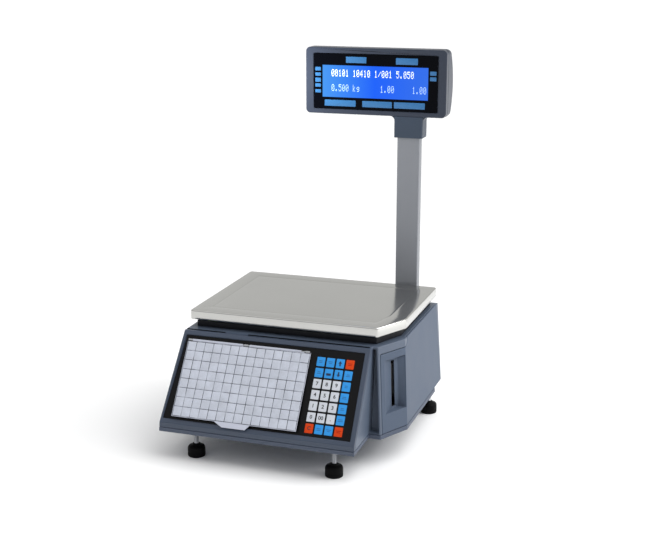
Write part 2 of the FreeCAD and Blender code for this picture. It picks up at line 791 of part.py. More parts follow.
def head_profile(inset, front):
    """Side view of the display head: flat in front, with one bulged arc behind."""
    top = float(head_top) - inset
    low = float(head_low) + inset
    middle = (top + low) / 2
    back_top = Vector(0, float(head_front + head_deep_top) - inset, top)
    back_middle = Vector(0, float(head_front + head_deep) - inset, middle)
    back_low = Vector(0, float(head_front + head_deep_low) - inset, low)
    front_low = Vector(0, front, low)
    front_top = Vector(0, front, top)
    edges = [Part.Arc(back_top, back_middle, back_low).toShape()]
    for start, end in ((back_low, front_low), (front_low, front_top), (front_top, back_top)):
        edges.append(Part.LineSegment(start, end).toShape())
    return Part.Face(Part.Wire(edges))


def head_solid(inset, front):
    face = head_profile(inset, front)
    face.translate(Vector(float(head_left) + inset, 0, 0))
    return face.extrude(Vector(float(head_right - head_left) - 2 * inset, 0, 0))


def rounded_outer(solid, radius):
    """Round the four long corners seen from the front."""
    picked = []
    for edge in solid.Edges:
        if runs_along(edge, (0, 1, 0)):
            picked.append(edge)
    return solid.makeFillet(radius, picked)


def solid_block(size_x, size_y, size_z, x, y, z):
    return Part.makeBox(size_x, size_y, size_z, Vector(x, y, z))


def feature(shape, label):
    item = doc.addObject("Part::Feature", label)
    item.Shape = shape.removeSplitter()
    item.Placement = Placement()
    return node(item, label)


def build_head():
    """The display head: front and rear shells, windows, display panels and circuit board."""
    front = float(head_front)
    split = front + 14
    wall_y = 2.5
    whole = rounded_outer(head_solid(0, front), 8)
    hollow = head_solid(wall_y, front + wall_y)
    shell = whole.cut(hollow)
    left = float(head_left)
    right = float(head_right)
    low = float(head_low)
    high = float(head_top)
    width = right - left
    reach = 400

    # Front shell: the window recess and the opening behind it.
    window_left, window_right = left + 15.2, right - 15.4
    window_low, window_high = low + 9, high - 10.5
    panel = (window_right - window_left, window_high - window_low)
    recess = solid_block(panel[0], 2, panel[1], window_left, front - 1, window_low)
    through = solid_block(panel[0] - 12, 8, panel[1] - 12, window_left + 6, front - 1, window_low + 6)
    front_half = solid_block(reach, split - front + 10, reach, left - 50, front - 10, low - 50)
    front_shell = shell.common(front_half).cut(recess).cut(through)
    lcd_left, lcd_right = window_left + 16.1, window_right - 17
    lcd_low, lcd_high = low + 29.7, low + 86
    pane = solid_block(panel[0] - 0.4, 1.8, panel[1] - 0.4, window_left + 0.2, front - 0.8, window_low + 0.2)
    opening = solid_block(lcd_right - lcd_left, 6, lcd_high - lcd_low, lcd_left, front - 3, lcd_low)
    feature(pane.cut(opening), "display_window")
    lcd_wide, lcd_tall = lcd_right - lcd_left, lcd_high - lcd_low
    module = solid_block(lcd_wide + 14, 7, lcd_tall + 14, lcd_left - 7, front + 1.2, lcd_low - 7)
    face = solid_block(lcd_wide - 0.6, 1.2, lcd_tall - 0.6, lcd_left + 0.3, front + 0.2, lcd_low + 0.3)
    feature(module.fuse(face), "display_panel")
    board = solid_block(width - 30, 1.6, high - low - 26, left + 15, front + 11, low + 13)
    chips = [solid_block(24, 3, 12, left + 60 + step * 60, front + 12.4, low + 80) for step in range(3)]
    feature(board.multiFuse(chips), "display_circuit_board")

    # Rear shell with the neck that the pole goes into.
    rear_half = solid_block(reach, 80, reach, left - 50, split + 0.3, low - 50)
    rear_shell = shell.common(rear_half)
    neck_left = float(pole_x) - 25.8
    neck = solid_block(51.6, 33, low - float(neck_low) + 10, neck_left, front + 0.0, float(neck_low))
    neck = neck.makeFillet(3, [e for e in neck.Edges if runs_along(e, (0, 0, 1))])
    flare = []
    for side, sign in ((neck_left, -1), (neck_left + 51.6, 1)):
        radius = 9
        corner = solid_block(radius, 27, radius, side if sign > 0 else side - radius, front + 3, low - radius)
        centre = Vector(side + sign * radius, front + 2, low - radius)
        corner = corner.cut(Part.makeCylinder(radius, 40, centre, Vector(0, 1, 0)))
        flare.append(corner)
    body = neck.multiFuse(flare)
    body = body.cut(head_solid(0, front + 0.0)).cut(solid_block(reach, 80, reach, left - 50, front - 20, low))
    pole_left = float(pole_x - pole_wide / 2) - 0.1
    well = solid_block(float(pole_wide) + 0.2, float(pole_deep) + 0.2, float(pole_top - neck_low) + 1.3,
                       pole_left, float(pole_y) - 0.1, float(neck_low) - 1)
    cable_start = Vector(float(pole_x) + CABLE_X, float(pole_y + pole_deep / 2), float(pole_top) - 2)
    cable_hole = Part.makeCylinder(5, 60, cable_start)
    depth = float(head_deep)
    rear_recess = solid_block(190, 20, 57, left + 33.5, front + depth - 4.5, (low + high) / 2 - 28.5)
    rear_hole = solid_block(176, 30, 44, left + 40.5, front + depth - 14, (low + high) / 2 - 22)
    backing = solid_block(198, 3, 64, left + 29.5, front + depth - 7.5, (low + high) / 2 - 32).common(whole)
    rear_shell = rear_shell.fuse(backing).cut(rear_recess).cut(rear_hole)
    feature(rear_shell.cut(cable_hole), "head_rear_shell")
    feature(body.cut(well).cut(cable_hole), "head_neck")
    feature(front_shell.cut(cable_hole), "head_front_shell")
    middle = (low + high) / 2
    rear_pane = solid_block(189.4, 1.8, 56.4, left + 33.8, front + depth - 4.4, middle - 28.2)
    rear_open = solid_block(150, 8, 34, left + 53.5, front + depth - 8, middle - 17)
    feature(rear_pane.cut(rear_open), "rear_display_window")
    rear_module = solid_block(170, 7, 42, left + 43.5, front + depth - 14, middle - 21)
    rear_face = solid_block(149, 3, 33, left + 54, front + depth - 7.2, middle - 16.5)
    feature(rear_module.fuse(rear_face), "rear_display_panel")


# ---------------------------------------------------------------- label printer drawer

RAILS = (-50, 96)
FACE_MIDDLE = 129
OUTLET_S = 43.2
MECHANISM_DEPTH = 12.5


def face_point(along, depth):
    """A point in plan, along the label face from its front corner and a depth behind it."""
    corner_x = side_x(FACE_MIDDLE) - label_face_x
    corner_y = notch_y(FACE_MIDDLE)
    return corner_x + along * along_x - depth * along_y, corner_y + along * along_y + depth * along_x


def face_prism(name, spots, low, high):
    return slab(name, [face_point(s, depth) for s, depth in spots], low, high - low)


def face_taper(name, low_spots, low, high_spots, high):
    """A body between two outlines along the label face, so that it can lean back as the face does."""
    lower = [face_point(s, depth) for s, depth in low_spots]
    upper = [face_point(s, depth) for s, depth in high_spots]
    return tapered(name, lower, low, upper, high)


def build_drawer_front():
    """The door of the printer: label face, right side, label slot and its dished surround."""
    inside = body_shell("door_inside", seam_z - 2, deck_z + 2, door_wall)
    ring = cut(body_shell("door_ring", seam_z + gap, deck_z), [inside])
    skin = common(ring, door_edges("door_edge", 0, 100))
    case_low = [(8, -20), (8, -4), (37.8, 9.7), (55.8, 9.7), (61.3, -3.5), (61.3, -20)]
    case_high = [(14.5, -14), (14.5, 7.6), (37.8, 14), (57, 14), (67.8, 7.6), (67.8, -14)]
    dish_low = [(9.7, -22), (9.7, -5.4), (38.6, 7.75), (54.5, 7.75), (59.8, -5.1), (59.8, -22)]
    dish_high = [(16.2, -16), (16.2, 5.2), (38.6, 12.2), (55.5, 12.2), (66.3, 5.5), (66.3, -16)]
    slot_spots = [(39.4, 0), (39.4, 30), (47, 30), (47, 0)]
    solid = body_shell("outlet_limit", seam_z, deck_z)
    case = common(face_taper("outlet_case", case_low, 82, case_high, 175), solid)
    dish = face_taper("dish", dish_low, 85.5, dish_high, 171.5)
    slot = face_prism("slot", slot_spots, 88, 166)
    return node(cut(fuse([skin, case]), [dish, slot]), "drawer_front")


def build_chassis():
    """The steel plate that carries the roll and the print unit, on two runners."""
    plate = box(150, 240, chassis_thick, chassis_left, -95, chassis_z)
    back = box(2, 200, 16, chassis_left, -60, chassis_z)
    ears = [box(14, 30, 16, 181, y, chassis_z) for y in (-20, 90)]
    inside = body_shell("chassis_limit", seam_z - 6, deck_z, door_wall)
    low = common(fuse([plate, back] + ears), inside)
    runners = [box(146, 7, 8.4, chassis_left + 2, y - 3.5, chassis_z - 8) for y in RAILS]
    node(fuse([low] + runners), "cassette_chassis")
    rails = []
    for y in RAILS:
        rail = box(146, 12, 10, chassis_left + 2, y - 6, chassis_z - 10.4)
        room = box(148, 7.6, 10, chassis_left + 1, y - 3.8, chassis_z - 8.4)
        high = chassis_z - 10.4 - floor_z - wall + 0.5
        base = [box(12, 12, high, x, y - 6, floor_z + wall) for x in (44, 150)]
        rails.append(cut(fuse([rail] + base), [room]))
    node(group(rails), "drawer_rails")


def build_label_roll():
    """The roll of labels on its upright spindle."""
    node(tube(roll_radius, 12.7, roll_high, roll_x, roll_y, roll_low), "label_roll")
    disc = rod(38, 2.5, roll_x, roll_y, roll_low - 2.9)
    stem = rod(9, roll_low - 2.9 - chassis_z - chassis_thick, roll_x, roll_y, chassis_z + chassis_thick)
    spindle = rod(12.6, roll_high + 3, roll_x, roll_y, roll_low - 2)
    node(fuse([disc, stem, spindle]), "supply_spindle")


def print_place(item):
    """Place a piece drawn with x inwards from the label slot and y towards the keyboard."""
    x, y = face_point(OUTLET_S, MECHANISM_DEPTH)
    angle = angle_of(along_x, -along_y)
    return locate(item, x, y, 0, (0, 0, 1), angle)


PLATEN = (14, 7.4)
IDLER = (32.85, 18.28)
MOTOR = (47.55, 26.77)
ARM_PIN = (46, -10)
TAKE_UP = (88, 8.6)
GEAR_Z = 168.6
GEAR_WIDE = 5
BELT_Z = 175
PRINT_LOW = 100
PRINT_HIGH = 58
PLATE_LOW = 84
PLATE_HIGH = 166
TEETH = {"platen_gear": 24, "idler_gear": 30, "motor_pinion": 12}


def gear_outline(teeth, first_turn, centre):
    """A spur gear's outline with involute flanks and a little backlash."""
    module = float(gear_module)
    pitch = module * teeth / 2
    base = pitch * math.cos(math.radians(20))
    tip = pitch + module * 0.9
    root = pitch - module * 1.15
    slack = 0.05 / pitch

    def involute(radius):
        ratio = max(radius / base, 1.0)
        turn = math.sqrt(ratio * ratio - 1)
        return turn - math.atan(turn)

    half_tooth = math.pi / (2 * teeth) - slack + involute(pitch)
    spots = []
    for tooth in range(teeth):
        middle = first_turn + 2 * math.pi * tooth / teeth
        for radius in (root, base, (base + pitch) / 2, pitch, (pitch + tip) / 2, tip):
            spots.append((radius, middle - half_tooth + involute(max(radius, base))))
        for radius in (tip, (pitch + tip) / 2, pitch, (base + pitch) / 2, base, root):
            spots.append((radius, middle + half_tooth - involute(max(radius, base))))
    corners = [Vector(centre[0] + r * math.cos(a), centre[1] + r * math.sin(a), GEAR_Z) for r, a in spots]
    return Part.makePolygon(corners + [corners[0]])


def gear_shape(name, first_turn, bore, centre):
    face = Part.Face(gear_outline(TEETH[name], first_turn, centre))
    solid = face.extrude(Vector(0, 0, GEAR_WIDE))
    return solid.cut(Part.makeCylinder(bore, GEAR_WIDE + 2, Vector(centre[0], centre[1], GEAR_Z - 1)))


def print_feature(shape, label):
    item = doc.addObject("Part::Feature", label)
    item.Shape = shape
    print_place(item)
    return node(item, label)


def bearing_of(first, second):
    return math.atan2(second[1] - first[1], second[0] - first[0])


def build_gears():
    """Motor pinion, idler and platen gear, set in mesh at rest."""
    shafts = {"platen_gear": (PLATEN, 3.03), "idler_gear": (IDLER, 3.05), "motor_pinion": (MOTOR, 2)}
    to_platen = bearing_of(IDLER, PLATEN)
    to_motor = bearing_of(IDLER, MOTOR)
    tooth_turn = 2 * math.pi / TEETH["idler_gear"]
    idler_first = to_platen
    spare = (to_motor - idler_first) % tooth_turn
    platen_first = to_platen + math.pi + math.pi / TEETH["platen_gear"]
    pinion_turn = 2 * math.pi / TEETH["motor_pinion"]
    pinion_first = to_motor + math.pi + pinion_turn / 2 + spare / tooth_turn * pinion_turn
    turns = {"platen_gear": platen_first, "idler_gear": idler_first, "motor_pinion": pinion_first}
    for name, (centre, bore) in shafts.items():
        shape = gear_shape(name, turns[name], bore, centre)
        if name == "idler_gear":
            gear_top = GEAR_Z + GEAR_WIDE
            hub = Part.makeCylinder(6, BELT_Z - gear_top, Vector(centre[0], centre[1], gear_top))
            pulley = Part.makeCylinder(8.7, 4, Vector(centre[0], centre[1], BELT_Z))
            room = Part.makeCylinder(bore, 30, Vector(centre[0], centre[1], GEAR_Z - 1))
            shape = shape.fuse(hub).fuse(pulley).cut(room)
        if name == "motor_pinion":
            low = PLATE_HIGH - 18
            axle = Part.makeCylinder(bore, GEAR_Z + GEAR_WIDE - low, Vector(centre[0], centre[1], low))
            shape = shape.fuse(axle)
        print_feature(shape, name)


def build_print_unit():
    """The print frame, head arm, head, platen, motor, sensor, peel bar and take-up spool."""
    outline = [(4, -16), (4, 17), (24, 31), (66, 45), (100, 30), (100, -16)]
    lower = slab("print_floor", outline, PLATE_LOW, 2)
    upper = slab("print_roof", outline, PLATE_HIGH, 2)
    posts = [rod(3, PLATE_HIGH - chassis_z - chassis_thick + 1, x, y, chassis_z + chassis_thick)
             for x, y in ((24, 26.5), (66, 41.5), (60, -13))]
    pin = rod(2, PLATE_HIGH - PLATE_LOW, ARM_PIN[0], ARM_PIN[1], PLATE_LOW + 1)
    guide = rod(4, PLATE_HIGH - PLATE_LOW, 36, 4.6, PLATE_LOW + 1)
    idler_pin = rod(3, 14, IDLER[0], IDLER[1], PLATE_HIGH)
    spool_pin = rod(3, BELT_Z + 6 - PLATE_LOW, TAKE_UP[0], TAKE_UP[1], PLATE_LOW + 1)
    bores = [rod(3.05, 120, PLATEN[0], PLATEN[1], PLATE_LOW - 6),
             rod(3.2, 10, MOTOR[0], MOTOR[1], PLATE_HIGH - 4),
             rod(9, 6, TAKE_UP[0], TAKE_UP[1], PLATE_HIGH - 2)]
    trimmed = cut(fuse([lower, upper] + posts), bores)
    node(print_place(fuse([trimmed, pin, guide, idler_pin, spool_pin])), "print_frame")

    shaft = rod(3, GEAR_Z + GEAR_WIDE - PLATE_LOW + 1, PLATEN[0], PLATEN[1], PLATE_LOW)
    roller = rod(platen_radius, PLATE_HIGH - PLATE_LOW - 10, PLATEN[0], PLATEN[1], PLATE_LOW + 6)
    node(print_place(fuse([shaft, roller])), "platen_roller")

    motor = rod(17.3, 24, MOTOR[0], MOTOR[1], PLATE_HIGH - 24)
    case = cut(motor, [rod(2.05, 30, MOTOR[0], MOTOR[1], PLATE_HIGH - 20)])
    node(print_place(case), "stepper_motor")

    arm = box(44, 7.6, PRINT_HIGH, 6, -12, PRINT_LOW)
    knuckle = rod(5, PRINT_HIGH, ARM_PIN[0], ARM_PIN[1], PRINT_LOW)
    room = box(30, 5, PRINT_HIGH - 16, 10, -12.5, PRINT_LOW + 8)
    arm = cut(fuse([arm, knuckle]), [rod(2.05, 80, ARM_PIN[0], ARM_PIN[1], PRINT_LOW - 10), room])
    node(print_place(arm), "print_head_arm")
    head = slab("thermal_head", [(7.5, -4.4), (20.5, -4.4), (20.5, -0.5), (7.5, -0.5)], PRINT_LOW, PRINT_HIGH)
    node(print_place(head), "print_head")
    bar = box(3.5, 2.2, PLATE_HIGH - PLATE_LOW - 2, 1.8, 0.9, PLATE_LOW + 2)
    lugs = [box(5, 2.2, 2, 1.8, 0.9, z) for z in (PLATE_LOW + 2, PLATE_HIGH - 2)]
    node(print_place(fuse([bar] + lugs)), "peel_bar")
    sensor = cut(box(7, 9, 12, 23, -4.5, PLATE_LOW + 2), [box(9, 1.8, 9, 22, -0.9, PLATE_LOW + 6)])
    node(print_place(sensor), "label_sensor")

    hub = rod(9, PLATE_HIGH - PLATE_LOW - 6, TAKE_UP[0], TAKE_UP[1], PLATE_LOW + 3)
    low_flange = rod(20, 1.6, TAKE_UP[0], TAKE_UP[1], PLATE_LOW + 3)
    neck = rod(6, 20, TAKE_UP[0], TAKE_UP[1], PLATE_HIGH - 8)
    pulley = rod(8.7, 4, TAKE_UP[0], TAKE_UP[1], BELT_Z)
    room = rod(3.05, 110, TAKE_UP[0], TAKE_UP[1], PLATE_LOW - 2)
    spool = cut(fuse([hub, low_flange, neck, pulley]), [room])
    node(print_place(spool), "take_up_spool")

    span = math.hypot(TAKE_UP[0] - IDLER[0], TAKE_UP[1] - IDLER[1])
    way = ((TAKE_UP[0] - IDLER[0]) / span, (TAKE_UP[1] - IDLER[1]) / span)
    level = BELT_Z + 0.5
    loops = []
    for radius in (10, 9):
        ends = [Part.makeCylinder(radius, 3, Vector(x, y, level)) for x, y in (IDLER, TAKE_UP)]
        corners = []
        for x, y, side in ((*IDLER, -1), (*TAKE_UP, -1), (*TAKE_UP, 1), (*IDLER, 1), (*IDLER, -1)):
            corners.append(Vector(x - side * radius * way[1], y + side * radius * way[0], level))
        straight = Part.Face(Part.makePolygon(corners)).extrude(Vector(0, 0, 3))
        loops.append(straight.multiFuse(ends).removeSplitter())
    print_feature(loops[0].cut(loops[1]), "drive_belt")


# ---------------------------------------------------------------- checks and export

def check_and_export():
    doc.recompute()
    for item in doc.Objects:
        if "Invalid" in item.State or "Error" in item.State:
            raise RuntimeError("%s (%s) failed: %s" % (item.Name, item.Label, item.State))
    os.makedirs("parts", exist_ok=True)
    whole = FreeCAD.BoundBox()
    for item in nodes:
        shape = item.Shape
        if shape.isNull() or not shape.isValid():
            raise RuntimeError("%s has no valid shape" % item.Label)
        shape.exportStep("parts/%s.step" % item.Label)
        whole.add(shape.BoundBox)
        facts = (item.Label, len(shape.Solids), shape.Volume, shape.BoundBox)
        print("%-26s %3d solids %10.1f mm3  %s" % facts)
    print("%d nodes, whole box %s" % (len(nodes), whole))


build_bottom_tray()
build_upper_housing()
build_splash_collar()
build_keyboard()
build_key_page()
build_platter()
build_weighing()
build_feet()
build_electronics()
build_rear_panel()
build_pole()
build_head()
build_drawer_front()
build_chassis()
build_label_roll()
build_gears()
build_print_unit()
check_and_export()
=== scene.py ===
import math
import random

import bmesh
import bpy
from mathutils import Matrix, Vector


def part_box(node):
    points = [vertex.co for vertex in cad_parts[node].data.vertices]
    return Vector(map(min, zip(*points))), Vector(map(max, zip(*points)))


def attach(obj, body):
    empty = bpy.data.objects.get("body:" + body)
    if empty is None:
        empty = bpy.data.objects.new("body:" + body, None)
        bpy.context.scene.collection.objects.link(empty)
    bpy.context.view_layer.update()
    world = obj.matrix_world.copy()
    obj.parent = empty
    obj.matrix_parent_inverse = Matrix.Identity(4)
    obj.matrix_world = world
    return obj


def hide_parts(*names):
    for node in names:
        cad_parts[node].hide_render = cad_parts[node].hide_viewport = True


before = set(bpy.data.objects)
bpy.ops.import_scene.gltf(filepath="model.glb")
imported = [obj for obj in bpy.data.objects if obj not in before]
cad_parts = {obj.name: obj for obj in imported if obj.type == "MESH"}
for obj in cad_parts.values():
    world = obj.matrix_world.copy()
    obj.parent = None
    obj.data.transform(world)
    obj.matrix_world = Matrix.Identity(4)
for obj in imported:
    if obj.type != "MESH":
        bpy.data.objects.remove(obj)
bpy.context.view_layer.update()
random.seed(7)

MM = 0.001
TAU = 2 * math.pi


def linear(red, green, blue):
    """A colour given as 0 to 255 screen values, as the linear colour that shaders use."""
    found = []
    for value in (red, green, blue):
        share = value / 255
        found.append(share / 12.92 if share <= 0.04045 else ((share + 0.055) / 1.055) ** 2.4)
    return (found[0], found[1], found[2], 1.0)


# ---------------------------------------------------------------- finishes

def add(tree, kind, **inputs):
    """A shader node with its inputs set by name, an underscore standing for a space."""
    item = tree.nodes.new(kind)
    for name, value in inputs.items():
        item.inputs[name.replace("_", " ")].default_value = value
    return item


def new_tree(name):
    """A new material with its node tree and its shader."""
    material = bpy.data.materials.new(name)
    material.use_nodes = True
    tree = material.node_tree
    tree.nodes.clear()
    output = tree.nodes.new("ShaderNodeOutputMaterial")
    shader = tree.nodes.new("ShaderNodeBsdfPrincipled")
    tree.links.new(shader.outputs["BSDF"], output.inputs["Surface"])
    return material, tree, shader


def spots(tree, scale=(1, 1, 1), turn=(0, 0, 0)):
    """Positions fixed to the piece, stretched and turned."""
    where = tree.nodes.new("ShaderNodeTexCoord")
    change = tree.nodes.new("ShaderNodeMapping")
    change.inputs["Scale"].default_value = scale
    change.inputs["Rotation"].default_value = turn
    tree.links.new(where.outputs["Object"], change.inputs["Vector"])
    return change.outputs["Vector"]


def noise(tree, places, scale, detail=3.0, rough=0.55):
    """Soft random tones."""
    item = add(tree, "ShaderNodeTexNoise", Scale=scale, Detail=detail, Roughness=rough)
    tree.links.new(places, item.inputs["Vector"])
    return item.outputs["Fac"]


def ramp(tree, value, stops):
    """Colours along a value, from (place, colour) stops."""
    item = tree.nodes.new("ShaderNodeValToRGB")
    band = item.color_ramp
    band.elements[0].position = stops[0][0]
    band.elements[0].color = stops[0][1]
    band.elements[1].position = stops[-1][0]
    band.elements[1].color = stops[-1][1]
    for place, colour in stops[1:-1]:
        band.elements.new(place).color = colour
    tree.links.new(value, item.inputs["Fac"])
    return item.outputs["Color"]


def spread(tree, value, low, high, to_low, to_high):
    """A value's range stretched to another range."""
    item = add(tree, "ShaderNodeMapRange")
    for name, number in (("From Min", low), ("From Max", high), ("To Min", to_low), ("To Max", to_high)):
        item.inputs[name].default_value = number
    tree.links.new(value, item.inputs["Value"])
    return item.outputs["Result"]


# Noise seldom leaves this range.
NOISE_LOW = 0.3
NOISE_HIGH = 0.7


def roughen(tree, shader, tone, low, high):
    """Let the roughness follow a noise between two limits."""
    rough = spread(tree, tone, NOISE_LOW, NOISE_HIGH, low, high)
    tree.links.new(rough, shader.inputs["Roughness"])


def relief(tree, shader, height, distance):
    """Fine surface relief; the distance is in metres."""
    item = add(tree, "ShaderNodeBump", Distance=distance, Strength=1.0)
    tree.links.new(height, item.inputs["Height"])
    tree.links.new(item.outputs["Normal"], shader.inputs["Normal"])


def shaded(colour, amount):
    """A colour made darker or lighter."""
    return tuple(min(1.0, c * amount) for c in colour[:3]) + (1.0,)


# How much of a surface's tone comes from its fine grain.
FINE_SHARE = 0.35
COAT_ROUGH = 0.12


def finish_of(name, colour, rough, metal=0.0, grain=2200.0, depth=0.00004, swing=0.07, patch=18.0,
              rough_swing=0.06, stretch=(1, 1, 1), specular=0.5, coat=0.0):
    """A surface whose colour, roughness and relief vary with noise at two scales."""
    material, tree, shader = new_tree(name)
    shader.inputs["Metallic"].default_value = metal
    shader.inputs["Specular IOR Level"].default_value = specular
    shader.inputs["Coat Weight"].default_value = coat
    shader.inputs["Coat Roughness"].default_value = COAT_ROUGH
    wide = noise(tree, spots(tree), patch, 4.0)
    fine = noise(tree, spots(tree, stretch), grain, 2.0)
    both = add(tree, "ShaderNodeMix")
    both.inputs["Factor"].default_value = FINE_SHARE
    tree.links.new(wide, both.inputs["A"])
    tree.links.new(fine, both.inputs["B"])
    tone = both.outputs["Result"]
    dark, pale = shaded(colour, 1 - swing), shaded(colour, 1 + swing)
    colours = ramp(tree, tone, [(NOISE_LOW, dark), (0.5, colour), (NOISE_HIGH, pale)])
    tree.links.new(colours, shader.inputs["Base Color"])
    roughen(tree, shader, tone, rough - rough_swing, rough + rough_swing)
    relief(tree, shader, fine, depth)
    return material


# A colour mix node keeps its colour sockets at these places.
COLOUR_A = 6
COLOUR_B = 7
COLOUR_RESULT = 2


def backlit_display_with_painted_reflection(name, left, middle, right, low_x, high_x):
    """A back-lit liquid crystal with a fine dot grid: its glow fades from side to side, and the paler left
    end is a painted reflection of a light on the glass.
    """
    material, tree, shader = new_tree(name)
    places = tree.nodes.new("ShaderNodeSeparateXYZ")
    tree.links.new(spots(tree), places.inputs["Vector"])
    across = spread(tree, places.outputs["X"], low_x, high_x, 0.0, 1.0)
    # The ramp's paler left stop is a painted reflection of a light on the glass; the rest is the
    # backlight's glow.
    glow = ramp(tree, across, [(0.0, left), (0.5, middle), (1.0, right)])
    cell = add(tree, "ShaderNodeTexVoronoi", Scale=900.0, Randomness=0.0)
    tree.links.new(spots(tree), cell.inputs["Vector"])
    grid = ramp(tree, cell.outputs["Distance"], [(0.3, (1, 1, 1, 1)), (0.75, (0.86, 0.88, 0.92, 1))])
    both = tree.nodes.new("ShaderNodeMix")
    both.data_type = "RGBA"
    both.blend_type = "MULTIPLY"
    both.inputs["Factor"].default_value = 1.0
    tree.links.new(glow, both.inputs[COLOUR_A])
    tree.links.new(grid, both.inputs[COLOUR_B])
    tree.links.new(both.outputs[COLOUR_RESULT], shader.inputs["Emission Color"])
    shader.inputs["Emission Strength"].default_value = 1.0
    shader.inputs["Base Color"].default_value = (0.0, 0.004, 0.03, 1)
    shader.inputs["Specular IOR Level"].default_value = 0.12
    roughen(tree, shader, noise(tree, spots(tree), 30.0), 0.2, 0.3)
    return material


def board_finish(name):
    """Solder mask with copper tracks showing through it."""
    material, tree, shader = new_tree(name)
    tracks = add(tree, "ShaderNodeTexVoronoi", Scale=260.0)
    tracks.distance = "CHEBYCHEV"
    tree.links.new(spots(tree), tracks.inputs["Vector"])
    mask = [(0.25, linear(24, 84, 48)), (0.32, linear(38, 120, 62)), (0.5, linear(20, 74, 44))]
    tree.links.new(ramp(tree, tracks.outputs["Distance"], mask), shader.inputs["Base Color"])
    roughen(tree, shader, noise(tree, spots(tree), 90.0), 0.25, 0.4)
    relief(tree, shader, tracks.outputs["Distance"], 0.00003)
    return material


def paper_roll_finish(name, centre):
    """Wound paper, with fine rings about its upright axis."""
    material, tree, shader = new_tree(name)
    places = add(tree, "ShaderNodeVectorMath")
    places.operation = "SUBTRACT"
    places.inputs[1].default_value = (centre[0], centre[1], 0)
    tree.links.new(spots(tree), places.inputs[0])
    rings = add(tree, "ShaderNodeTexWave", Scale=420.0, Distortion=0.4)
    rings.wave_type = "RINGS"
    rings.rings_direction = "Z"
    tree.links.new(places.outputs["Vector"], rings.inputs["Vector"])
    colours = [(0.1, linear(205, 200, 186)), (0.7, linear(242, 240, 232))]
    tree.links.new(ramp(tree, rings.outputs["Fac"], colours), shader.inputs["Base Color"])
    roughen(tree, shader, noise(tree, spots(tree), 200.0), 0.6, 0.8)
    relief(tree, shader, rings.outputs["Fac"], 0.00006)
    return material


def printed_rule_finish(name):
    """Thin printed lines that are darker in some places than in others."""
    material, tree, shader = new_tree(name)
    wear = noise(tree, spots(tree), 55.0, 3.0)
    tones = [(0.38, linear(36, 40, 52)), (0.5, linear(84, 90, 104)), (0.64, linear(156, 161, 174))]
    tree.links.new(ramp(tree, wear, tones), shader.inputs["Base Color"])
    roughen(tree, shader, wear, 0.42, 0.58)
    relief(tree, shader, noise(tree, spots(tree), 500.0), 0.00003)
    return material


# Brushed metal has its grain drawn out along one axis.
BRUSH_X = (0.02, 1.0, 1.0)
BRUSH_Y = (1.0, 0.02, 1.0)
BRUSH_Z = (1.0, 1.0, 0.02)
MOULDED = {"grain": 1900.0, "depth": 0.00005}
KEY_PRINT = {"grain": 1200.0, "depth": 0.00002}
INK = {"grain": 1200.0, "swing": 0.2}

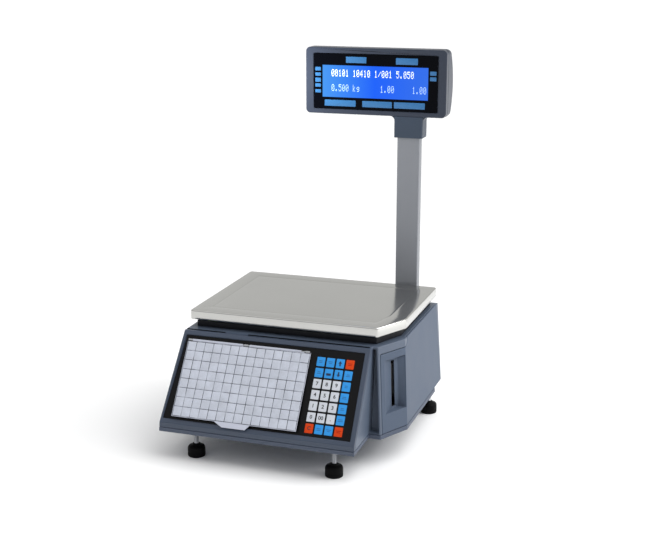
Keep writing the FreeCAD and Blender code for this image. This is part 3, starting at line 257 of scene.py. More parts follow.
FINISH = {
    "casing": finish_of("casing", linear(80, 91, 108), 0.38, **MOULDED),
    "door": finish_of("door", linear(79, 90, 107), 0.48, specular=0.18, **MOULDED),
    "bezel": finish_of("bezel", linear(58, 69, 87), 0.38, **MOULDED),
    "tray": finish_of("tray", linear(66, 76, 94), 0.5, grain=1500.0, depth=0.00005),
    # The collar's near-black is painted shade: the shadow that the platter's rim casts on it, given to the
    # collar as its own colour.
    "collar_painted_shade": finish_of("collar_painted_shade", linear(10, 13, 21), 0.5, grain=1500.0, specular=0.3),
    "head": finish_of("head", linear(49, 56, 70), 0.32, specular=0.35, **MOULDED),
    "neck": finish_of("neck", linear(52, 64, 80), 0.38, specular=0.4, **MOULDED),
    "film": finish_of("film", linear(7, 7, 9), 0.3, grain=1600.0, depth=0.00002, swing=0.15,
                      specular=0.16),
    "film_key": finish_of("film_key", linear(26, 28, 33), 0.34, grain=1600.0, depth=0.00002, swing=0.12,
                          specular=0.35),
    "page": finish_of("page", linear(190, 194, 208), 0.34, grain=700.0, depth=0.00003, swing=0.02),
    "page_cell": finish_of("page_cell", linear(191, 196, 208), 0.36, grain=500.0, depth=0.00003, swing=0.14,
                           patch=45.0),
    "page_rule": printed_rule_finish("page_rule"),
    "key_blue": finish_of("key_blue", linear(44, 146, 222), 0.38, swing=0.07, specular=0.3, **KEY_PRINT),
    "key_white": finish_of("key_white", linear(204, 208, 216), 0.38, swing=0.05, specular=0.3, **KEY_PRINT),
    "key_orange": finish_of("key_orange", linear(208, 62, 4), 0.38, swing=0.08, specular=0.2, **KEY_PRINT),
    "ink": finish_of("ink", linear(24, 26, 34), 0.5, **INK),
    "ink_blue": finish_of("ink_blue", linear(26, 88, 150), 0.5, **INK),
    "ink_navy": finish_of("ink_navy", linear(12, 34, 70), 0.5, **INK),
    "ink_red": finish_of("ink_red", linear(150, 24, 4), 0.5, specular=0.2, **INK),
    "stainless": finish_of("stainless", linear(194, 194, 191), 0.17, metal=1.0, grain=1700.0,
                           depth=0.000012, swing=0.05, patch=5.0, rough_swing=0.04, stretch=BRUSH_X),
    "aluminium": finish_of("aluminium", linear(138, 141, 147), 0.4, metal=0.4, grain=1700.0,
                           depth=0.000012, swing=0.05, patch=6.0, stretch=BRUSH_Z),
    "milled": finish_of("milled", linear(200, 202, 206), 0.34, metal=1.0, grain=1400.0, depth=0.00001,
                        stretch=BRUSH_Y),
    "cast": finish_of("cast", linear(160, 162, 164), 0.5, metal=0.9, grain=700.0, depth=0.0001),
    "zinc": finish_of("zinc", linear(184, 186, 190), 0.36, metal=1.0, grain=300.0, depth=0.00002,
                      patch=60.0, swing=0.12),
    "bright": finish_of("bright", linear(196, 198, 202), 0.24, metal=1.0, grain=900.0, depth=0.00001),
    "black_metal": finish_of("black_metal", linear(30, 31, 34), 0.5, grain=900.0, depth=0.00005,
                             swing=0.15),
    "rubber": finish_of("rubber", linear(5, 5, 6), 0.6, grain=900.0, depth=0.00008, swing=0.3,
                        specular=0.1),
    "black_plastic": finish_of("black_plastic", linear(30, 30, 33), 0.42, grain=1500.0, swing=0.15),
    "acrylic": finish_of("acrylic", linear(2, 3, 8), 0.14, grain=300.0, depth=0.000002, swing=0.2,
                         rough_swing=0.03, specular=0.05),
    "nylon": finish_of("nylon", linear(226, 222, 206), 0.45, grain=900.0, swing=0.03),
    "spool": finish_of("spool", linear(44, 50, 64), 0.45, grain=1400.0, swing=0.1),
    "ceramic": finish_of("ceramic", linear(196, 190, 176), 0.2, grain=800.0, swing=0.05, coat=0.4),
    "level": finish_of("level", linear(186, 214, 104), 0.12, grain=500.0, swing=0.05, coat=0.6),
    "board": board_finish("board"),
}

# Each CAD node's finish and the size of the rounding on its sharp edges, in millimetres.
LOOKS = {
    "upper_housing": ("casing", 1.2), "drawer_front": ("door", 0.9), "keyboard_bezel": ("bezel", 1.0),
    "bottom_tray": ("tray", 0.5), "splash_collar": ("collar_painted_shade", 0.5), "keyboard_membrane": ("film", 0.15),
    "keyboard_circuit_board": ("board", 0.0), "key_page": ("page", 0.15),
    "key_page_hinge": ("zinc", 0.1), "platter": ("stainless", 0.0), "load_cell": ("milled", 0.5),
    "load_cell_base": ("cast", 0.6), "load_cell_top_bracket": ("cast", 0.6),
    "load_cell_screws": ("bright", 0.4), "platter_carrier": ("black_metal", 0.5),
    "platter_pads": ("rubber", 0.8), "overload_stop": ("bright", 0.4), "spirit_level": ("level", 0.4),
    "foot_lock_nuts": ("zinc", 0.5), "main_circuit_board": ("board", 0.2),
    "power_supply": ("zinc", 0.3), "rear_panel": ("zinc", 0.2), "power_inlet": ("black_plastic", 0.4),
    "power_switch_frame": ("black_plastic", 0.3), "power_switch": ("black_plastic", 0.4),
    "lan_socket": ("zinc", 0.2), "usb_socket": ("zinc", 0.2), "serial_socket": ("zinc", 0.3),
    "pole": ("aluminium", 0.2), "pole_bracket": ("bezel", 0.8), "pole_screws": ("bright", 0.5),
    "display_cable": ("rubber", 0.0), "head_neck": ("neck", 0.8), "head_front_shell": ("head", 1.6),
    "head_rear_shell": ("head", 1.2), "display_window": ("acrylic", 0.25),
    "display_circuit_board": ("board", 0.2), "rear_display_window": ("acrylic", 0.25),
    "cassette_chassis": ("zinc", 0.3), "drawer_rails": ("zinc", 0.3), "supply_spindle": ("spool", 0.6),
    "platen_roller": ("rubber", 0.4), "platen_gear": ("nylon", 0.15), "idler_gear": ("nylon", 0.15),
    "motor_pinion": ("bright", 0.1), "print_frame": ("zinc", 0.3), "stepper_motor": ("zinc", 0.8),
    "print_head_arm": ("cast", 0.6), "print_head": ("ceramic", 0.3), "peel_bar": ("bright", 0.3),
    "label_sensor": ("black_plastic", 0.4), "take_up_spool": ("spool", 0.5),
    "drive_belt": ("rubber", 0.1), "label_roll": ("paper", 0.3), "display_panel": ("lcd", 0.0),
    "rear_display_panel": ("rear_lcd", 0.0),
}

# How far each display panel reaches under its window's frame.
LCD_MARGIN = {"display_panel": 7 * MM, "rear_display_panel": 10.5 * MM}


def lcd_finish(name, node):
    """A display's glow, with a painted reflection at its paler left end, fitted to the width of the panel
    that shows.
    """
    low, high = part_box(node)
    margin = LCD_MARGIN[node]
    # The first, paler colour holds the painted reflection at the display's left end.
    return backlit_display_with_painted_reflection(name, linear(74, 156, 240), linear(24, 98, 250), linear(52, 112, 234),
                       low.x + margin, high.x - margin)


def centre_of(node):
    """The middle of a CAD node's box."""
    low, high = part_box(node)
    return (low + high) / 2


FINISH["lcd"] = lcd_finish("lcd", "display_panel")
FINISH["rear_lcd"] = lcd_finish("rear_lcd", "rear_display_panel")
FINISH["paper"] = paper_roll_finish("paper", centre_of("label_roll"))


WELD_REACH = 0.002 * MM
FLAT_ANGLE = math.radians(0.5)
SHARP_ANGLE = math.radians(30)
BROAD_ROUNDING = 0.8


def round_edges(item, width):
    """Merge the imported facets into whole faces, then round the edges between them."""
    weld = item.modifiers.new("weld", "WELD")
    weld.merge_threshold = WELD_REACH
    whole = item.modifiers.new("whole_faces", "DECIMATE")
    whole.decimate_type = "DISSOLVE"
    whole.angle_limit = FLAT_ANGLE
    if width > 0:
        bevel = item.modifiers.new("rounding", "BEVEL")
        bevel.width = width * MM
        bevel.segments = 3 if width >= BROAD_ROUNDING else 2
        bevel.limit_method = "ANGLE"
        bevel.angle_limit = SHARP_ANGLE
        bevel.use_clamp_overlap = False
        bevel.miter_outer = "MITER_ARC"
        bevel.harden_normals = False
    normals = item.modifiers.new("shading", "WEIGHTED_NORMAL")
    normals.keep_sharp = True
    normals.weight = 60


for node_name, (look, rounding) in LOOKS.items():
    cad_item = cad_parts[node_name]
    cad_item.data.materials.clear()
    cad_item.data.materials.append(FINISH[look])
    round_edges(cad_item, rounding)


# ---------------------------------------------------------------- mesh building

def piece(name, mesh_data, look, body, shading=40):
    """A finished mesh as one piece on its body, with edges sharper than the shading angle kept hard."""
    mesh = bpy.data.meshes.new(name)
    bmesh.ops.recalc_face_normals(mesh_data, faces=mesh_data.faces)
    for face in mesh_data.faces:
        face.smooth = True
    limit = math.radians(shading)
    for edge in mesh_data.edges:
        if len(edge.link_faces) == 2 and edge.calc_face_angle(0) > limit:
            edge.smooth = False
    mesh_data.to_mesh(mesh)
    mesh_data.free()
    mesh.materials.append(FINISH[look])
    item = bpy.data.objects.new(name, mesh)
    bpy.context.scene.collection.objects.link(item)
    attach(item, body)
    return item


def join_loops(mesh_data, loops):
    """Skin a stack of rings that all have the same number of points, and close both ends."""
    rings = [[mesh_data.verts.new(point) for point in loop] for loop in loops]
    for lower, upper in zip(rings, rings[1:]):
        for i in range(len(lower)):
            j = (i + 1) % len(lower)
            mesh_data.faces.new((lower[i], lower[j], upper[j], upper[i]))
    mesh_data.faces.new(tuple(reversed(rings[0])))
    mesh_data.faces.new(tuple(rings[-1]))


def rounded(points, radius, steps=5):
    """A polygon's outline with every corner turned into an arc."""
    outline = []
    count = len(points)
    for i in range(count):
        corner = Vector(points[i])
        before = (Vector(points[i - 1]) - corner).normalized()
        after = (Vector(points[(i + 1) % count]) - corner).normalized()
        half = before.angle(after) / 2
        reach = radius / math.tan(half)
        centre = corner + (before + after).normalized() * radius / math.sin(half)
        start = corner + before * reach - centre
        end = corner + after * reach - centre
        for step in range(steps + 1):
            spot = start.lerp(end, step / steps).normalized() * radius
            outline.append(centre + spot)
    return outline


def lathe(profile, centre, segments):
    """Rings about an upright axis from (radius, height) pairs."""
    loops = []
    for radius, height in profile:
        ring = []
        for step in range(segments):
            turn = TAU * step / segments
            x, y = centre.x + radius * math.cos(turn), centre.y + radius * math.sin(turn)
            ring.append((x, y, height))
        loops.append(ring)
    return loops


# The keyboard slope: x across, v up the slope, w away from it.
SLOPE_LOW_Z = 63.5 * MM
SLOPE_RUN = 86.2 * MM
SLOPE_RISE = 134.0 * MM
SLOPE_ANGLE = math.atan2(SLOPE_RISE, SLOPE_RUN)
slope_start = Vector((0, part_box("keyboard_bezel")[0].y, SLOPE_LOW_Z))
slope_end = slope_start + Vector((0, SLOPE_RUN, SLOPE_RISE))
SLOPE = Matrix.Translation(slope_start) @ Matrix.Rotation(SLOPE_ANGLE, 4, "X")
FILM_TOP = -1.4 * MM
# Raised areas start this far inside the surface that they stand on.
SINK = 0.05 * MM


def pillow(mesh_data, place, x0, y0, x1, y1, base, height, radius=1.0 * MM, crown=0.12 * MM):
    """A raised printed area with round corners, soft edges and a slight crown."""
    outline = [(x0, y0), (x1, y0), (x1, y1), (x0, y1)]
    middle = Vector(((x0 + x1) / 2, (y0 + y1) / 2))
    # The edge as shares of the corner radius inwards and of the height upwards.
    edge = ((0.0, 0.0), (0.0, 0.55), (0.25, 0.9), (0.6, 1.0))
    crown_share = 0.45
    loops = []
    for inset, share in edge:
        ring = []
        for spot in rounded(outline, radius, 3):
            away = spot - middle
            spot = spot - away.normalized() * inset * radius
            ring.append(place @ Vector((spot.x, spot.y, base + share * height)))
        loops.append(ring)
    shrunk = []
    for spot in rounded(outline, radius, 3):
        spot = middle + (spot - middle) * crown_share
        shrunk.append(place @ Vector((spot.x, spot.y, base + height + crown)))
    loops.append(shrunk)
    join_loops(mesh_data, loops)


# ---------------------------------------------------------------- keypad

KEY_X = 57.8 * MM
KEY_V = 13.1 * MM
KEY_WIDE = 13.6 * MM
KEY_TALL = 15.2 * MM
KEY_PITCH_X = 16.4 * MM
KEY_PITCH_V = 18.3 * MM
KEY_RISE = 0.3 * MM
# Each key's colour: blue, white or orange.
KEY_ROWS = ("bbbo", "bbbb", "wwwb", "wwwb", "wwwb", "wwwb", "obbo")
# The figures on the keys, by row and column.
LEGENDS = {(2, 0): "7", (2, 1): "8", (2, 2): "9", (3, 0): "4", (3, 1): "5", (3, 2): "6", (4, 0): "1",
           (4, 1): "2", (4, 2): "3", (5, 0): "0", (5, 1): "00", (5, 2): ".", (6, 0): "C"}
UP_KEY = (0, 2)
DOWN_KEY = (1, 2)
FEED_KEY = (1, 1)
KEY_LOOKS = {"b": ("keys_blue", "key_blue"), "w": ("keys_white", "key_white"),
             "o": ("keys_orange", "key_orange")}


def key_centre(row, column):
    """A key's middle on the slope; row 0 is the highest row."""
    x = KEY_X + column * KEY_PITCH_X + KEY_WIDE / 2
    v = KEY_V + (len(KEY_ROWS) - 1 - row) * KEY_PITCH_V + KEY_TALL / 2
    return x, v


def flat_shape(mesh_data, place, points, base, height):
    """A thin plate with the given outline."""
    lower = [place @ Vector((x, v, base)) for x, v in points]
    upper = [place @ Vector((x, v, base + height)) for x, v in points]
    join_loops(mesh_data, [lower, upper])


def build_keys():
    """The printed key areas, one piece for each colour."""
    for kind, (name, look) in KEY_LOOKS.items():
        mesh_data = bmesh.new()
        for row, kinds in enumerate(KEY_ROWS):
            for column, found in enumerate(kinds):
                if found == kind:
                    x, v = key_centre(row, column)
                    pillow(mesh_data, SLOPE, x - KEY_WIDE / 2, v - KEY_TALL / 2, x + KEY_WIDE / 2,
                           v + KEY_TALL / 2, FILM_TOP - SINK, KEY_RISE)
        piece(name, mesh_data, look, "base")


# Printed marks start inside a key's crown and end just above it.
INK_LOW = FILM_TOP + 0.28 * MM
INK_HIGH = 0.16 * MM
DIGIT_SIZE = 8.5 * MM


def glyph_mesh(mesh_data, text, size, place):
    """Solid letters from the built-in typeface, added to a mesh."""
    curve = bpy.data.curves.new("glyph", "FONT")
    curve.body = text
    curve.size = size
    curve.align_x = "CENTER"
    curve.align_y = "CENTER"
    curve.extrude = INK_HIGH / 2
    curve.offset = 0.2 * MM
    curve.resolution_u = 3
    holder = bpy.data.objects.new("glyph", curve)
    bpy.context.scene.collection.objects.link(holder)
    bpy.context.view_layer.update()
    shape = bpy.data.meshes.new_from_object(holder)
    shape.transform(place @ Matrix.Translation((0, 0, INK_LOW + INK_HIGH / 2)))
    mesh_data.from_mesh(shape)
    bpy.data.objects.remove(holder)
    bpy.data.curves.remove(curve)
    bpy.data.meshes.remove(shape)


def build_digits():
    """The figures on the number keys."""
    digits = bmesh.new()
    for (row, column), text in LEGENDS.items():
        x, v = key_centre(row, column)
        glyph_mesh(digits, text, DIGIT_SIZE, SLOPE @ Matrix.Translation((x, v, 0)))
    piece("key_digits", digits, "ink", "base")


def build_arrows():
    """The two arrow keys' arrows and the feed key's block."""
    arrows = bmesh.new()
    half, stem_half = 3.0 * MM, 1.2 * MM
    tip_reach, foot_reach = 4.4 * MM, 4.2 * MM
    for key, side in ((UP_KEY, 1), (DOWN_KEY, -1)):
        x, v = key_centre(*key)
        tip, foot = v + side * tip_reach, v - side * foot_reach
        outline = [(x - stem_half, foot), (x + stem_half, foot), (x + stem_half, v), (x + half, v),
                   (x, tip), (x - half, v), (x - stem_half, v)]
        flat_shape(arrows, SLOPE, outline, INK_LOW, INK_HIGH)
    x, v = key_centre(*FEED_KEY)
    left, right = x - 4 * MM, x + 4 * MM
    low, high = v - 3.4 * MM, v + 0.4 * MM
    block = rounded([(left, low), (right, low), (right, high), (left, high)], 0.5 * MM, 2)
    flat_shape(arrows, SLOPE, block, INK_LOW, INK_HIGH)
    piece("key_arrows", arrows, "ink_navy", "base")


def build_marks():
    """Two short lines, in place of words, on every other coloured key."""
    marks = {"b": bmesh.new(), "o": bmesh.new()}
    thick_half = 0.5 * MM
    apart_half = 1.3 * MM
    for row, kinds in enumerate(KEY_ROWS):
        for column, found in enumerate(kinds):
            if (row, column) in LEGENDS or (row, column) in (UP_KEY, DOWN_KEY, FEED_KEY):
                continue
            x, v = key_centre(row, column)
            for level in (v + apart_half, v - apart_half):
                half = random.uniform(2.2, 4.4) * MM
                low, high = level - thick_half, level + thick_half
                strip = [(x - half, low), (x + half, low), (x + half, high), (x - half, high)]
                flat_shape(marks[found], SLOPE, strip, INK_LOW, INK_HIGH)
    piece("key_marks", marks["b"], "ink_blue", "base")
    piece("key_marks_red", marks["o"], "ink_red", "base")


# Runs of the dark strip that paints the shadow gap along the key panel's top edge, on either side of the
# catch.
SHADOW_GAP_RUNS = ((-180 * MM, -110.4 * MM), (-69.6 * MM, 140 * MM))


def build_painted_shadow_gap():
    """A dark strip that paints the shadow in the gap between the key panel's top edge and the casing,
    broken at the catch.
    """
    front, back = slope_end.y + 5.7 * MM, slope_end.y + 8.8 * MM
    low, high = slope_end.z - 2 * MM, slope_end.z + 0.5 * MM
    shadow_strip = bmesh.new()
    section = rounded([(front, low), (back, low), (back, high), (front, high)], 0.4 * MM, 2)
    for left, right in SHADOW_GAP_RUNS:
        join_loops(shadow_strip, [[(x, spot.x, spot.y) for spot in section] for x in (left, right)])
    piece("panel_shadow_strip", shadow_strip, "rubber", "base")


build_keys()
build_digits()
build_arrows()
build_marks()
build_painted_shadow_gap()

# ---------------------------------------------------------------- product key page

PAGE_HINGE_V = 143.5 * MM
PAGE_HINGE_W = 0.5 * MM
PAGE_TILT = math.radians(1.8)
PAGE_LEFT = -171 * MM
PAGE_RIGHT = 46 * MM
PAGE_LONG = 132 * MM
PAGE_TOP = 2.8 * MM
PAGE_FACE = 0.4 * MM
COLUMNS = 14
ROWS = 8
PAGE_MARGIN = 1.2 * MM
CELL_WIDE = (PAGE_RIGHT - PAGE_LEFT - 2 * PAGE_MARGIN) / COLUMNS
CELL_TALL = (PAGE_LONG - PAGE_TOP - PAGE_MARGIN) / ROWS
PAGE = SLOPE @ Matrix.Translation((0, PAGE_HINGE_V, PAGE_HINGE_W)) @ Matrix.Rotation(-PAGE_TILT, 4, "X")


def cell_corners():
    """Each product cell's low left corner: x across, y up the page from its hinge."""
    for column in range(COLUMNS):
        for row in range(ROWS):
            yield PAGE_LEFT + PAGE_MARGIN + column * CELL_WIDE, PAGE_MARGIN - PAGE_LONG + row * CELL_TALL


def build_page_cells():
    """Blank product cells, slightly puffed, standing a little proud of the sheet."""
    edge = 0.5 * MM
    cells = bmesh.new()
    for x, y in cell_corners():
        crown = random.uniform(0.05, 0.6) * MM
        pillow(cells, PAGE, x + edge, y + edge, x + CELL_WIDE - edge, y + CELL_TALL - edge,
               PAGE_FACE - SINK, 0.24 * MM, 0.8 * MM, crown)
    piece("page_cells", cells, "page_cell", "key_page")


def build_page_rules():
    """The printed lines between the cells; the lines across lie a hair above the lines down."""
    half = 0.5 * MM
    base = PAGE_FACE - SINK
    left, right = PAGE_LEFT + PAGE_MARGIN, PAGE_RIGHT - PAGE_MARGIN
    low, high = PAGE_MARGIN - PAGE_LONG, -PAGE_TOP
    rules = bmesh.new()
    for column in range(COLUMNS + 1):
        x = left + column * CELL_WIDE
        strip = [(x - half, low), (x + half, low), (x + half, high), (x - half, high)]
        flat_shape(rules, PAGE, strip, base, 0.12 * MM)
    for row in range(ROWS + 1):
        y = low + row * CELL_TALL
        strip = [(left, y - half), (right, y - half), (right, y + half), (left, y + half)]
        flat_shape(rules, PAGE, strip, base, 0.14 * MM)
    piece("page_rules", rules, "page_rule", "key_page")


def build_film_cells():
    """The raised keys of the film under the page, in the same grid as the page's cells."""
    edge = 1.1 * MM
    domes = bmesh.new()
    for x, y in cell_corners():
        v = PAGE_HINGE_V + y
        pillow(domes, SLOPE, x + edge, v + edge, x + CELL_WIDE - edge, v + CELL_TALL - edge,
               FILM_TOP - SINK, KEY_RISE)
    piece("film_keys", domes, "film_key", "base")


build_page_cells()
build_page_rules()
build_film_cells()

# ---------------------------------------------------------------- platter

PLATTER_CUT_X = 31 * MM
PLATTER_CUT_Y = 63.5 * MM
# The cut corner's ends move in by this share of the margin.
PLATTER_EASING = 0.6
PLATTER_FOLD = 2.4 * MM
PLATTER_SHEET = 1.4 * MM
PLATTER_CORNER = 5 * MM
LEAST_CORNER = 2.2 * MM
CORNER_SHRINK = 0.6
PLATTER_BORDER = 27.6 * MM
# The low rim, in millimetres inwards and up.
PLATTER_RIM = ((0.9, 0), (0.25, 0.15), (0, 0.6))
# The soft step inside the border, in millimetres inwards and down.
PLATTER_STEP = ((0, 0), (0.5, 0.1), (1.1, 0.42), (1.7, 0.5), (3.2, 0.3), (5, 0.22))
platter_low, platter_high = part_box("platter")


def platter_outline(margin, radius):
    """The pan's outline with its cut corner, moved inwards by a margin."""
    low_x, high_x = platter_low.x + margin, platter_high.x - margin
    low_y, high_y = platter_low.y + margin, platter_high.y - margin
    easing = margin * PLATTER_EASING
    cut_x, cut_y = high_x - PLATTER_CUT_X + easing, low_y + PLATTER_CUT_Y - easing
    corners = [(low_x, low_y), (cut_x, low_y), (high_x, cut_y), (high_x, high_y), (low_x, high_y)]
    return rounded(corners, radius, 8)


def build_platter():
    """The folded and pressed steel pan, with rolled top edges and a soft step inside its border."""
    top, low = platter_high.z, platter_low.z
    fold = PLATTER_FOLD
    fold_steps = 6
    levels = [(PLATTER_SHEET, top - PLATTER_SHEET), (PLATTER_SHEET, low)]
    levels += [(inset * MM, low + rise * MM) for inset, rise in PLATTER_RIM]
    levels.append((0, top - fold))
    for step in range(1, fold_steps + 1):
        turn = math.pi / 2 * step / fold_steps
        levels.append((fold - fold * math.cos(turn), top - fold + fold * math.sin(turn)))
    levels += [(PLATTER_BORDER + inset * MM, top - drop * MM) for inset, drop in PLATTER_STEP]
    loops = []
    for margin, height in levels:
        ring = platter_outline(margin, max(PLATTER_CORNER - margin * CORNER_SHRINK, LEAST_CORNER))
        loops.append([(spot.x, spot.y, height) for spot in ring])
    mesh_data = bmesh.new()
    join_loops(mesh_data, loops)
    item = piece("platter_pan", mesh_data, "stainless", "platter", 50)
    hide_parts("platter")


build_platter()

# ---------------------------------------------------------------- feet

# A foot pad's section in millimetres, as (radius, height) from the recess under it up to the stud.
PAD_RADIUS = 14.7
PAD_SECTION = (
    (8.5, 1.1), (9.6, 1.0), (10.4, 0.25), (10.9, 0.0), (13.3, 0.0), (14.2, 0.4), (14.7, 1.4), (14.7, 6.3),
    (14.4, 6.7), (14.4, 7.3), (14.7, 7.7), (14.7, 13.6), (14.3, 15.6), (13.2, 17.2), (11.6, 18.1),
    (8.6, 18.7), (6.6, 20.2), (6.0, 21.8), (5.4, 22.0),
)
STUD_RADIUS = 4 * MM
STUD_START = 19 * MM
STUD_SIDES = 20
STUD_TAPER = 1.2 * MM
THREAD_PITCH = 1.25 * MM
THREAD_DEPTH = 0.6 * MM
ROWS_PER_TURN = 6


def build_pad(node):
    """A foot's rubber pad with rolled edges, in place of the plain CAD foot."""
    low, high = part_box(node)
    scale = (high.x - low.x) / 2 / PAD_RADIUS
    section = [(radius * scale, height * MM) for radius, height in PAD_SECTION]
    pad = bmesh.new()
    join_loops(pad, lathe(section, centre_of(node), 56))
    item = piece(node + "_pad", pad, "rubber", node, 50)
    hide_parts(node)


def build_stud(node):
    """The threaded stud that a foot turns on, its thread tapered at the top."""
    middle = centre_of(node)
    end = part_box(node)[1].z
    rows = int((end - STUD_START) / (THREAD_PITCH / ROWS_PER_TURN))
    loops = []
    for row in range(rows + 1):
        height = STUD_START + (end - STUD_START) * row / rows
        taper = max(0.0, 1 - (end - height) / STUD_TAPER) * THREAD_DEPTH
        ring = []
        for step in range(STUD_SIDES):
            share = (height / THREAD_PITCH - step / STUD_SIDES) % 1.0
            depth = THREAD_DEPTH * abs(2 * share - 1)
            reach = STUD_RADIUS - max(depth, taper)
            turn = TAU * step / STUD_SIDES
            ring.append((middle.x + reach * math.cos(turn), middle.y + reach * math.sin(turn), height))
        loops.append(ring)
    stud = bmesh.new()
    join_loops(stud, loops)
    piece(node + "_stud", stud, "zinc", node, 80)


for foot_name in ("foot_front_left", "foot_front_right", "foot_rear_left", "foot_rear_right"):
    build_pad(foot_name)
    build_stud(foot_name)

# ---------------------------------------------------------------- display head details

# Each character as seven rows from the top, with the leftmost of five dots as the highest bit.
DOTS = {
    "0": (14, 17, 19, 21, 25, 17, 14), "1": (4, 12, 4, 4, 4, 4, 14), "2": (14, 17, 1, 2, 4, 8, 31),
    "3": (31, 2, 4, 2, 1, 17, 14), "4": (2, 6, 10, 18, 31, 2, 2), "5": (31, 16, 30, 1, 1, 17, 14),
    "6": (6, 8, 16, 30, 17, 17, 14), "7": (31, 1, 2, 4, 8, 8, 8), "8": (14, 17, 17, 14, 17, 17, 14),
    "9": (14, 17, 17, 15, 1, 2, 12), ".": (0, 0, 0, 0, 0, 12, 12), "/": (0, 1, 2, 4, 8, 16, 0),
    "k": (16, 16, 18, 20, 24, 20, 18), "g": (0, 0, 15, 17, 15, 1, 14), " ": (0, 0, 0, 0, 0, 0, 0),
}
DOT_WIDE = 1.0 * MM
DOT_TALL = 1.75 * MM
DOT_THICK = 0.12 * MM
DOT_SHARE = 0.88
LETTER_PITCH = 6.6 * MM


def glow_finish(name, colour, power):
    """A lit mark whose glow is slightly uneven."""
    material, tree, shader = new_tree(name)
    tone = noise(tree, spots(tree), 400.0)
    glow = ramp(tree, tone, [(NOISE_LOW, shaded(colour, 0.86)), (NOISE_HIGH, colour)])
    tree.links.new(glow, shader.inputs["Emission Color"])
    tree.links.new(glow, shader.inputs["Base Color"])
    roughen(tree, shader, tone, 0.35, 0.5)
    shader.inputs["Emission Strength"].default_value = power
    return material


FINISH["glow_white"] = glow_finish("glow_white", linear(232, 240, 255), 0.75)
FINISH["glow_faint"] = glow_finish("glow_faint", linear(160, 190, 255), 0.75)
FINISH["glow_mark"] = glow_finish("glow_mark", linear(44, 100, 150), 0.32)


def dot_text(mesh_data, text, left, top, face_y, out):
    """Dot-matrix characters on an upright face: out is 1 where it looks towards -Y and -1 towards +Y."""
    wide, tall = DOT_WIDE * DOT_SHARE, DOT_TALL * DOT_SHARE
    for index, letter in enumerate(text):
        for row, bits in enumerate(DOTS[letter]):
            for column in range(5):
                if bits >> (4 - column) & 1:
                    x = left + out * (index * LETTER_PITCH + column * DOT_WIDE)
                    z = top - row * DOT_TALL
                    box_at(mesh_data, x, x + out * wide, face_y, face_y - out * DOT_THICK, z - tall, z)


def box_at(mesh_data, x0, x1, y0, y1, z0, z1):
    """A small box between two opposite corners."""
    lower = [(x0, y0, z0), (x1, y0, z0), (x1, y1, z0), (x0, y1, z0)]
    upper = [(x, y, z1) for x, y, _ in lower]
    join_loops(mesh_data, [lower, upper])


TILE_THICK = 0.16 * MM
TILE_EDGE = 0.3 * MM
TILE_CORNER = 0.8 * MM


def lamp_tile(mesh_data, x0, x1, z0, z1, face_y):
    """A printed lamp window with round corners and a soft edge, on a face that looks towards -Y."""
    outline = rounded([(x0, z0), (x1, z0), (x1, z1), (x0, z1)], TILE_CORNER, 3)
    middle = Vector(((x0 + x1) / 2, (z0 + z1) / 2))
    loops = []
    for inset, share in ((0, 0), (0, 0.7), (TILE_EDGE, 1)):
        ring = []
        for spot in outline:
            spot = spot - (spot - middle).normalized() * inset
            ring.append((spot.x, face_y - TILE_THICK * share, spot.y))
        loops.append(ring)
    join_loops(mesh_data, loops)


# The printed lamp windows as shares of the display window: left, right, top and bottom.
LAMPS = [(0.265, 0.43, 0.05, 0.16), (0.668, 0.842, 0.05, 0.165)]
for span in ((0.25, 0.315), (0.35, 0.41), (0.445, 0.52), (0.55, 0.61), (0.655, 0.715)):
    LAMPS.append((0.012, 0.058, *span))
for span in ((0.27, 0.34), (0.37, 0.44)):
    LAMPS.append((0.94, 0.99, *span))
for span in ((0.09, 0.345), (0.4, 0.64), (0.657, 0.903)):
    LAMPS.append((*span, 0.838, 0.95))
# Lit marks start this far inside the surface that they stand on.
MARK_SINK = 0.02 * MM


def build_lamps():
    """The printed lamp windows around the front display."""
    low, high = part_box("display_window")
    wide, tall = high.x - low.x, high.z - low.z
    lamps = bmesh.new()
    for left, right, top, bottom in LAMPS:
        lamp_tile(lamps, low.x + left * wide, low.x + right * wide, high.z - bottom * tall,
                  high.z - top * tall, low.y + MARK_SINK)
    piece("display_lamps", lamps, "glow_mark", "base")


def build_readings():
    """The front display's two rows of characters."""
    low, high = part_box("display_panel")
    face_y = low.y + MARK_SINK
    margin = LCD_MARGIN["display_panel"]
    left = low.x + margin + 17 * MM
    top = high.z - margin - 7.5 * MM
    first = bmesh.new()
    dot_text(first, "00101 10410 1/001 5.050", left, top, face_y, 1)
    piece("display_first_row", first, "glow_white", "base")
    row_drop = 26 * MM
    second = bmesh.new()
    for text, across in (("0.500 kg", 0), ("1.00", 90 * MM), ("1.00", 148 * MM)):
        dot_text(second, text, left + across, top - row_drop, face_y, 1)
    piece("display_second_row", second, "glow_faint", "base")


def build_rear_reading():
    """The customer's display, read from behind."""
    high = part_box("rear_display_panel")[1]
    left, top = high.x - 24 * MM, high.z - 14 * MM
    row = bmesh.new()
    dot_text(row, "0.500 kg 1.00 1.00", left, top, high.y - MARK_SINK, -1)
    piece("rear_display_row", row, "glow_white", "base")


build_lamps()
build_readings()
build_rear_reading()

# ---------------------------------------------------------------- floor, light and camera

def build_stage():
    """A pale floor that reaches past everything the camera sees."""
    look = finish_of("floor", (0.93, 0.93, 0.93, 1), 0.85, grain=200.0, swing=0.01, patch=2.0)
    mesh_data = bmesh.new()
    reach = 60.0
    for x, y in ((-reach, -reach), (reach, -reach), (reach, reach), (-reach, reach)):
        mesh_data.verts.new((x, y, 0))
    mesh_data.faces.new(mesh_data.verts)
    mesh = bpy.data.meshes.new("floor")
    mesh_data.to_mesh(mesh)
    mesh_data.free()
    mesh.materials.append(look)
    floor = bpy.data.objects.new("floor", mesh)
    bpy.context.scene.collection.objects.link(floor)


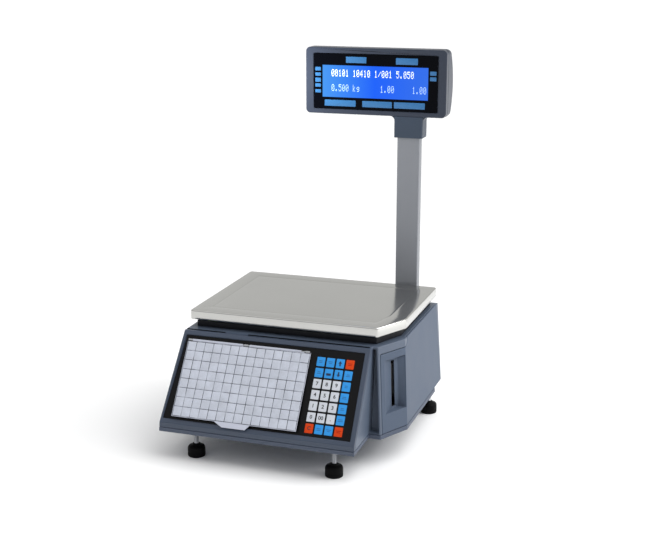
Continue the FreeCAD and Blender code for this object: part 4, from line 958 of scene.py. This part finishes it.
def add_sun(name, towards, strength, spread_degrees):
    """A broad soft light that comes from the given direction."""
    data = bpy.data.lights.new(name, "SUN")
    data.energy = strength
    data.angle = math.radians(spread_degrees)
    item = bpy.data.objects.new(name, data)
    item.rotation_euler = Vector(towards).to_track_quat("Z", "Y").to_euler()
    bpy.context.scene.collection.objects.link(item)


def add_panel(name, place, aim, side, power, mirrored):
    """A small square soft light aimed at a point; only a mirrored one shows in glossy surfaces."""
    data = bpy.data.lights.new(name, "AREA")
    data.energy = power
    data.size = side
    item = bpy.data.objects.new(name, data)
    item.location = place
    item.rotation_euler = (Vector(place) - Vector(aim)).to_track_quat("Z", "Y").to_euler()
    item.visible_camera = False
    item.visible_glossy = mirrored
    bpy.context.scene.collection.objects.link(item)


def build_light():
    """A pale room that is darker behind the camera, seen as plain white, and soft lights."""
    world = bpy.data.worlds.new("studio")
    world.use_nodes = True
    tree = world.node_tree
    where = tree.nodes.new("ShaderNodeTexCoord")
    split = tree.nodes.new("ShaderNodeSeparateXYZ")
    tree.links.new(where.outputs["Generated"], split.inputs["Vector"])
    depth = spread(tree, split.outputs["Y"], -1.0, 1.0, 0.0, 1.0)
    tones = [(0.0, (0.3, 0.3, 0.31, 1)), (0.5, (0.6, 0.6, 0.6, 1)), (0.85, (0.72, 0.72, 0.71, 1)),
             (1.0, (0.66, 0.66, 0.65, 1))]
    room = tree.nodes["Background"]
    tree.links.new(ramp(tree, depth, tones), room.inputs["Color"])
    backdrop = add(tree, "ShaderNodeBackground", Color=(1, 1, 1, 1))
    seen = tree.nodes.new("ShaderNodeLightPath")
    either = tree.nodes.new("ShaderNodeMixShader")
    tree.links.new(seen.outputs["Is Camera Ray"], either.inputs["Fac"])
    tree.links.new(room.outputs["Background"], either.inputs[1])
    tree.links.new(backdrop.outputs["Background"], either.inputs[2])
    tree.links.new(either.outputs["Shader"], tree.nodes["World Output"].inputs["Surface"])
    bpy.context.scene.world = world
    add_sun("key", (0.75, 0.1, 1.35), 1.7, 50)
    add_sun("fill", (-0.3, -0.6, 1.2), 0.5, 70)
    add_panel("head_fill", (-0.16, 0.06, 0.6), (-0.07, 0.166, 0.59), 0.06, 0.8, False)
    add_panel("right_fill", (1.35, 0.25, 0.8), (0.95, 0.1, 0), 0.5, 8, True)
    bpy.context.scene.view_settings.view_transform = "Standard"


CAMERA_PLACE = (0.6813, -1.9398, 0.8229)
CAMERA_DOWN = 14.72
CAMERA_TURN = 18.64


def build_camera():
    """A long lens in front of the scale, a little to the right and above it."""
    data = bpy.data.cameras.new("camera")
    data.sensor_width = 36
    data.lens = 68.44
    data.clip_start = 0.05
    item = bpy.data.objects.new("camera", data)
    item.location = CAMERA_PLACE
    item.rotation_euler = (math.radians(90 - CAMERA_DOWN), 0, math.radians(CAMERA_TURN))
    bpy.context.scene.collection.objects.link(item)
    bpy.context.scene.camera = item


build_stage()
build_light()
build_camera()
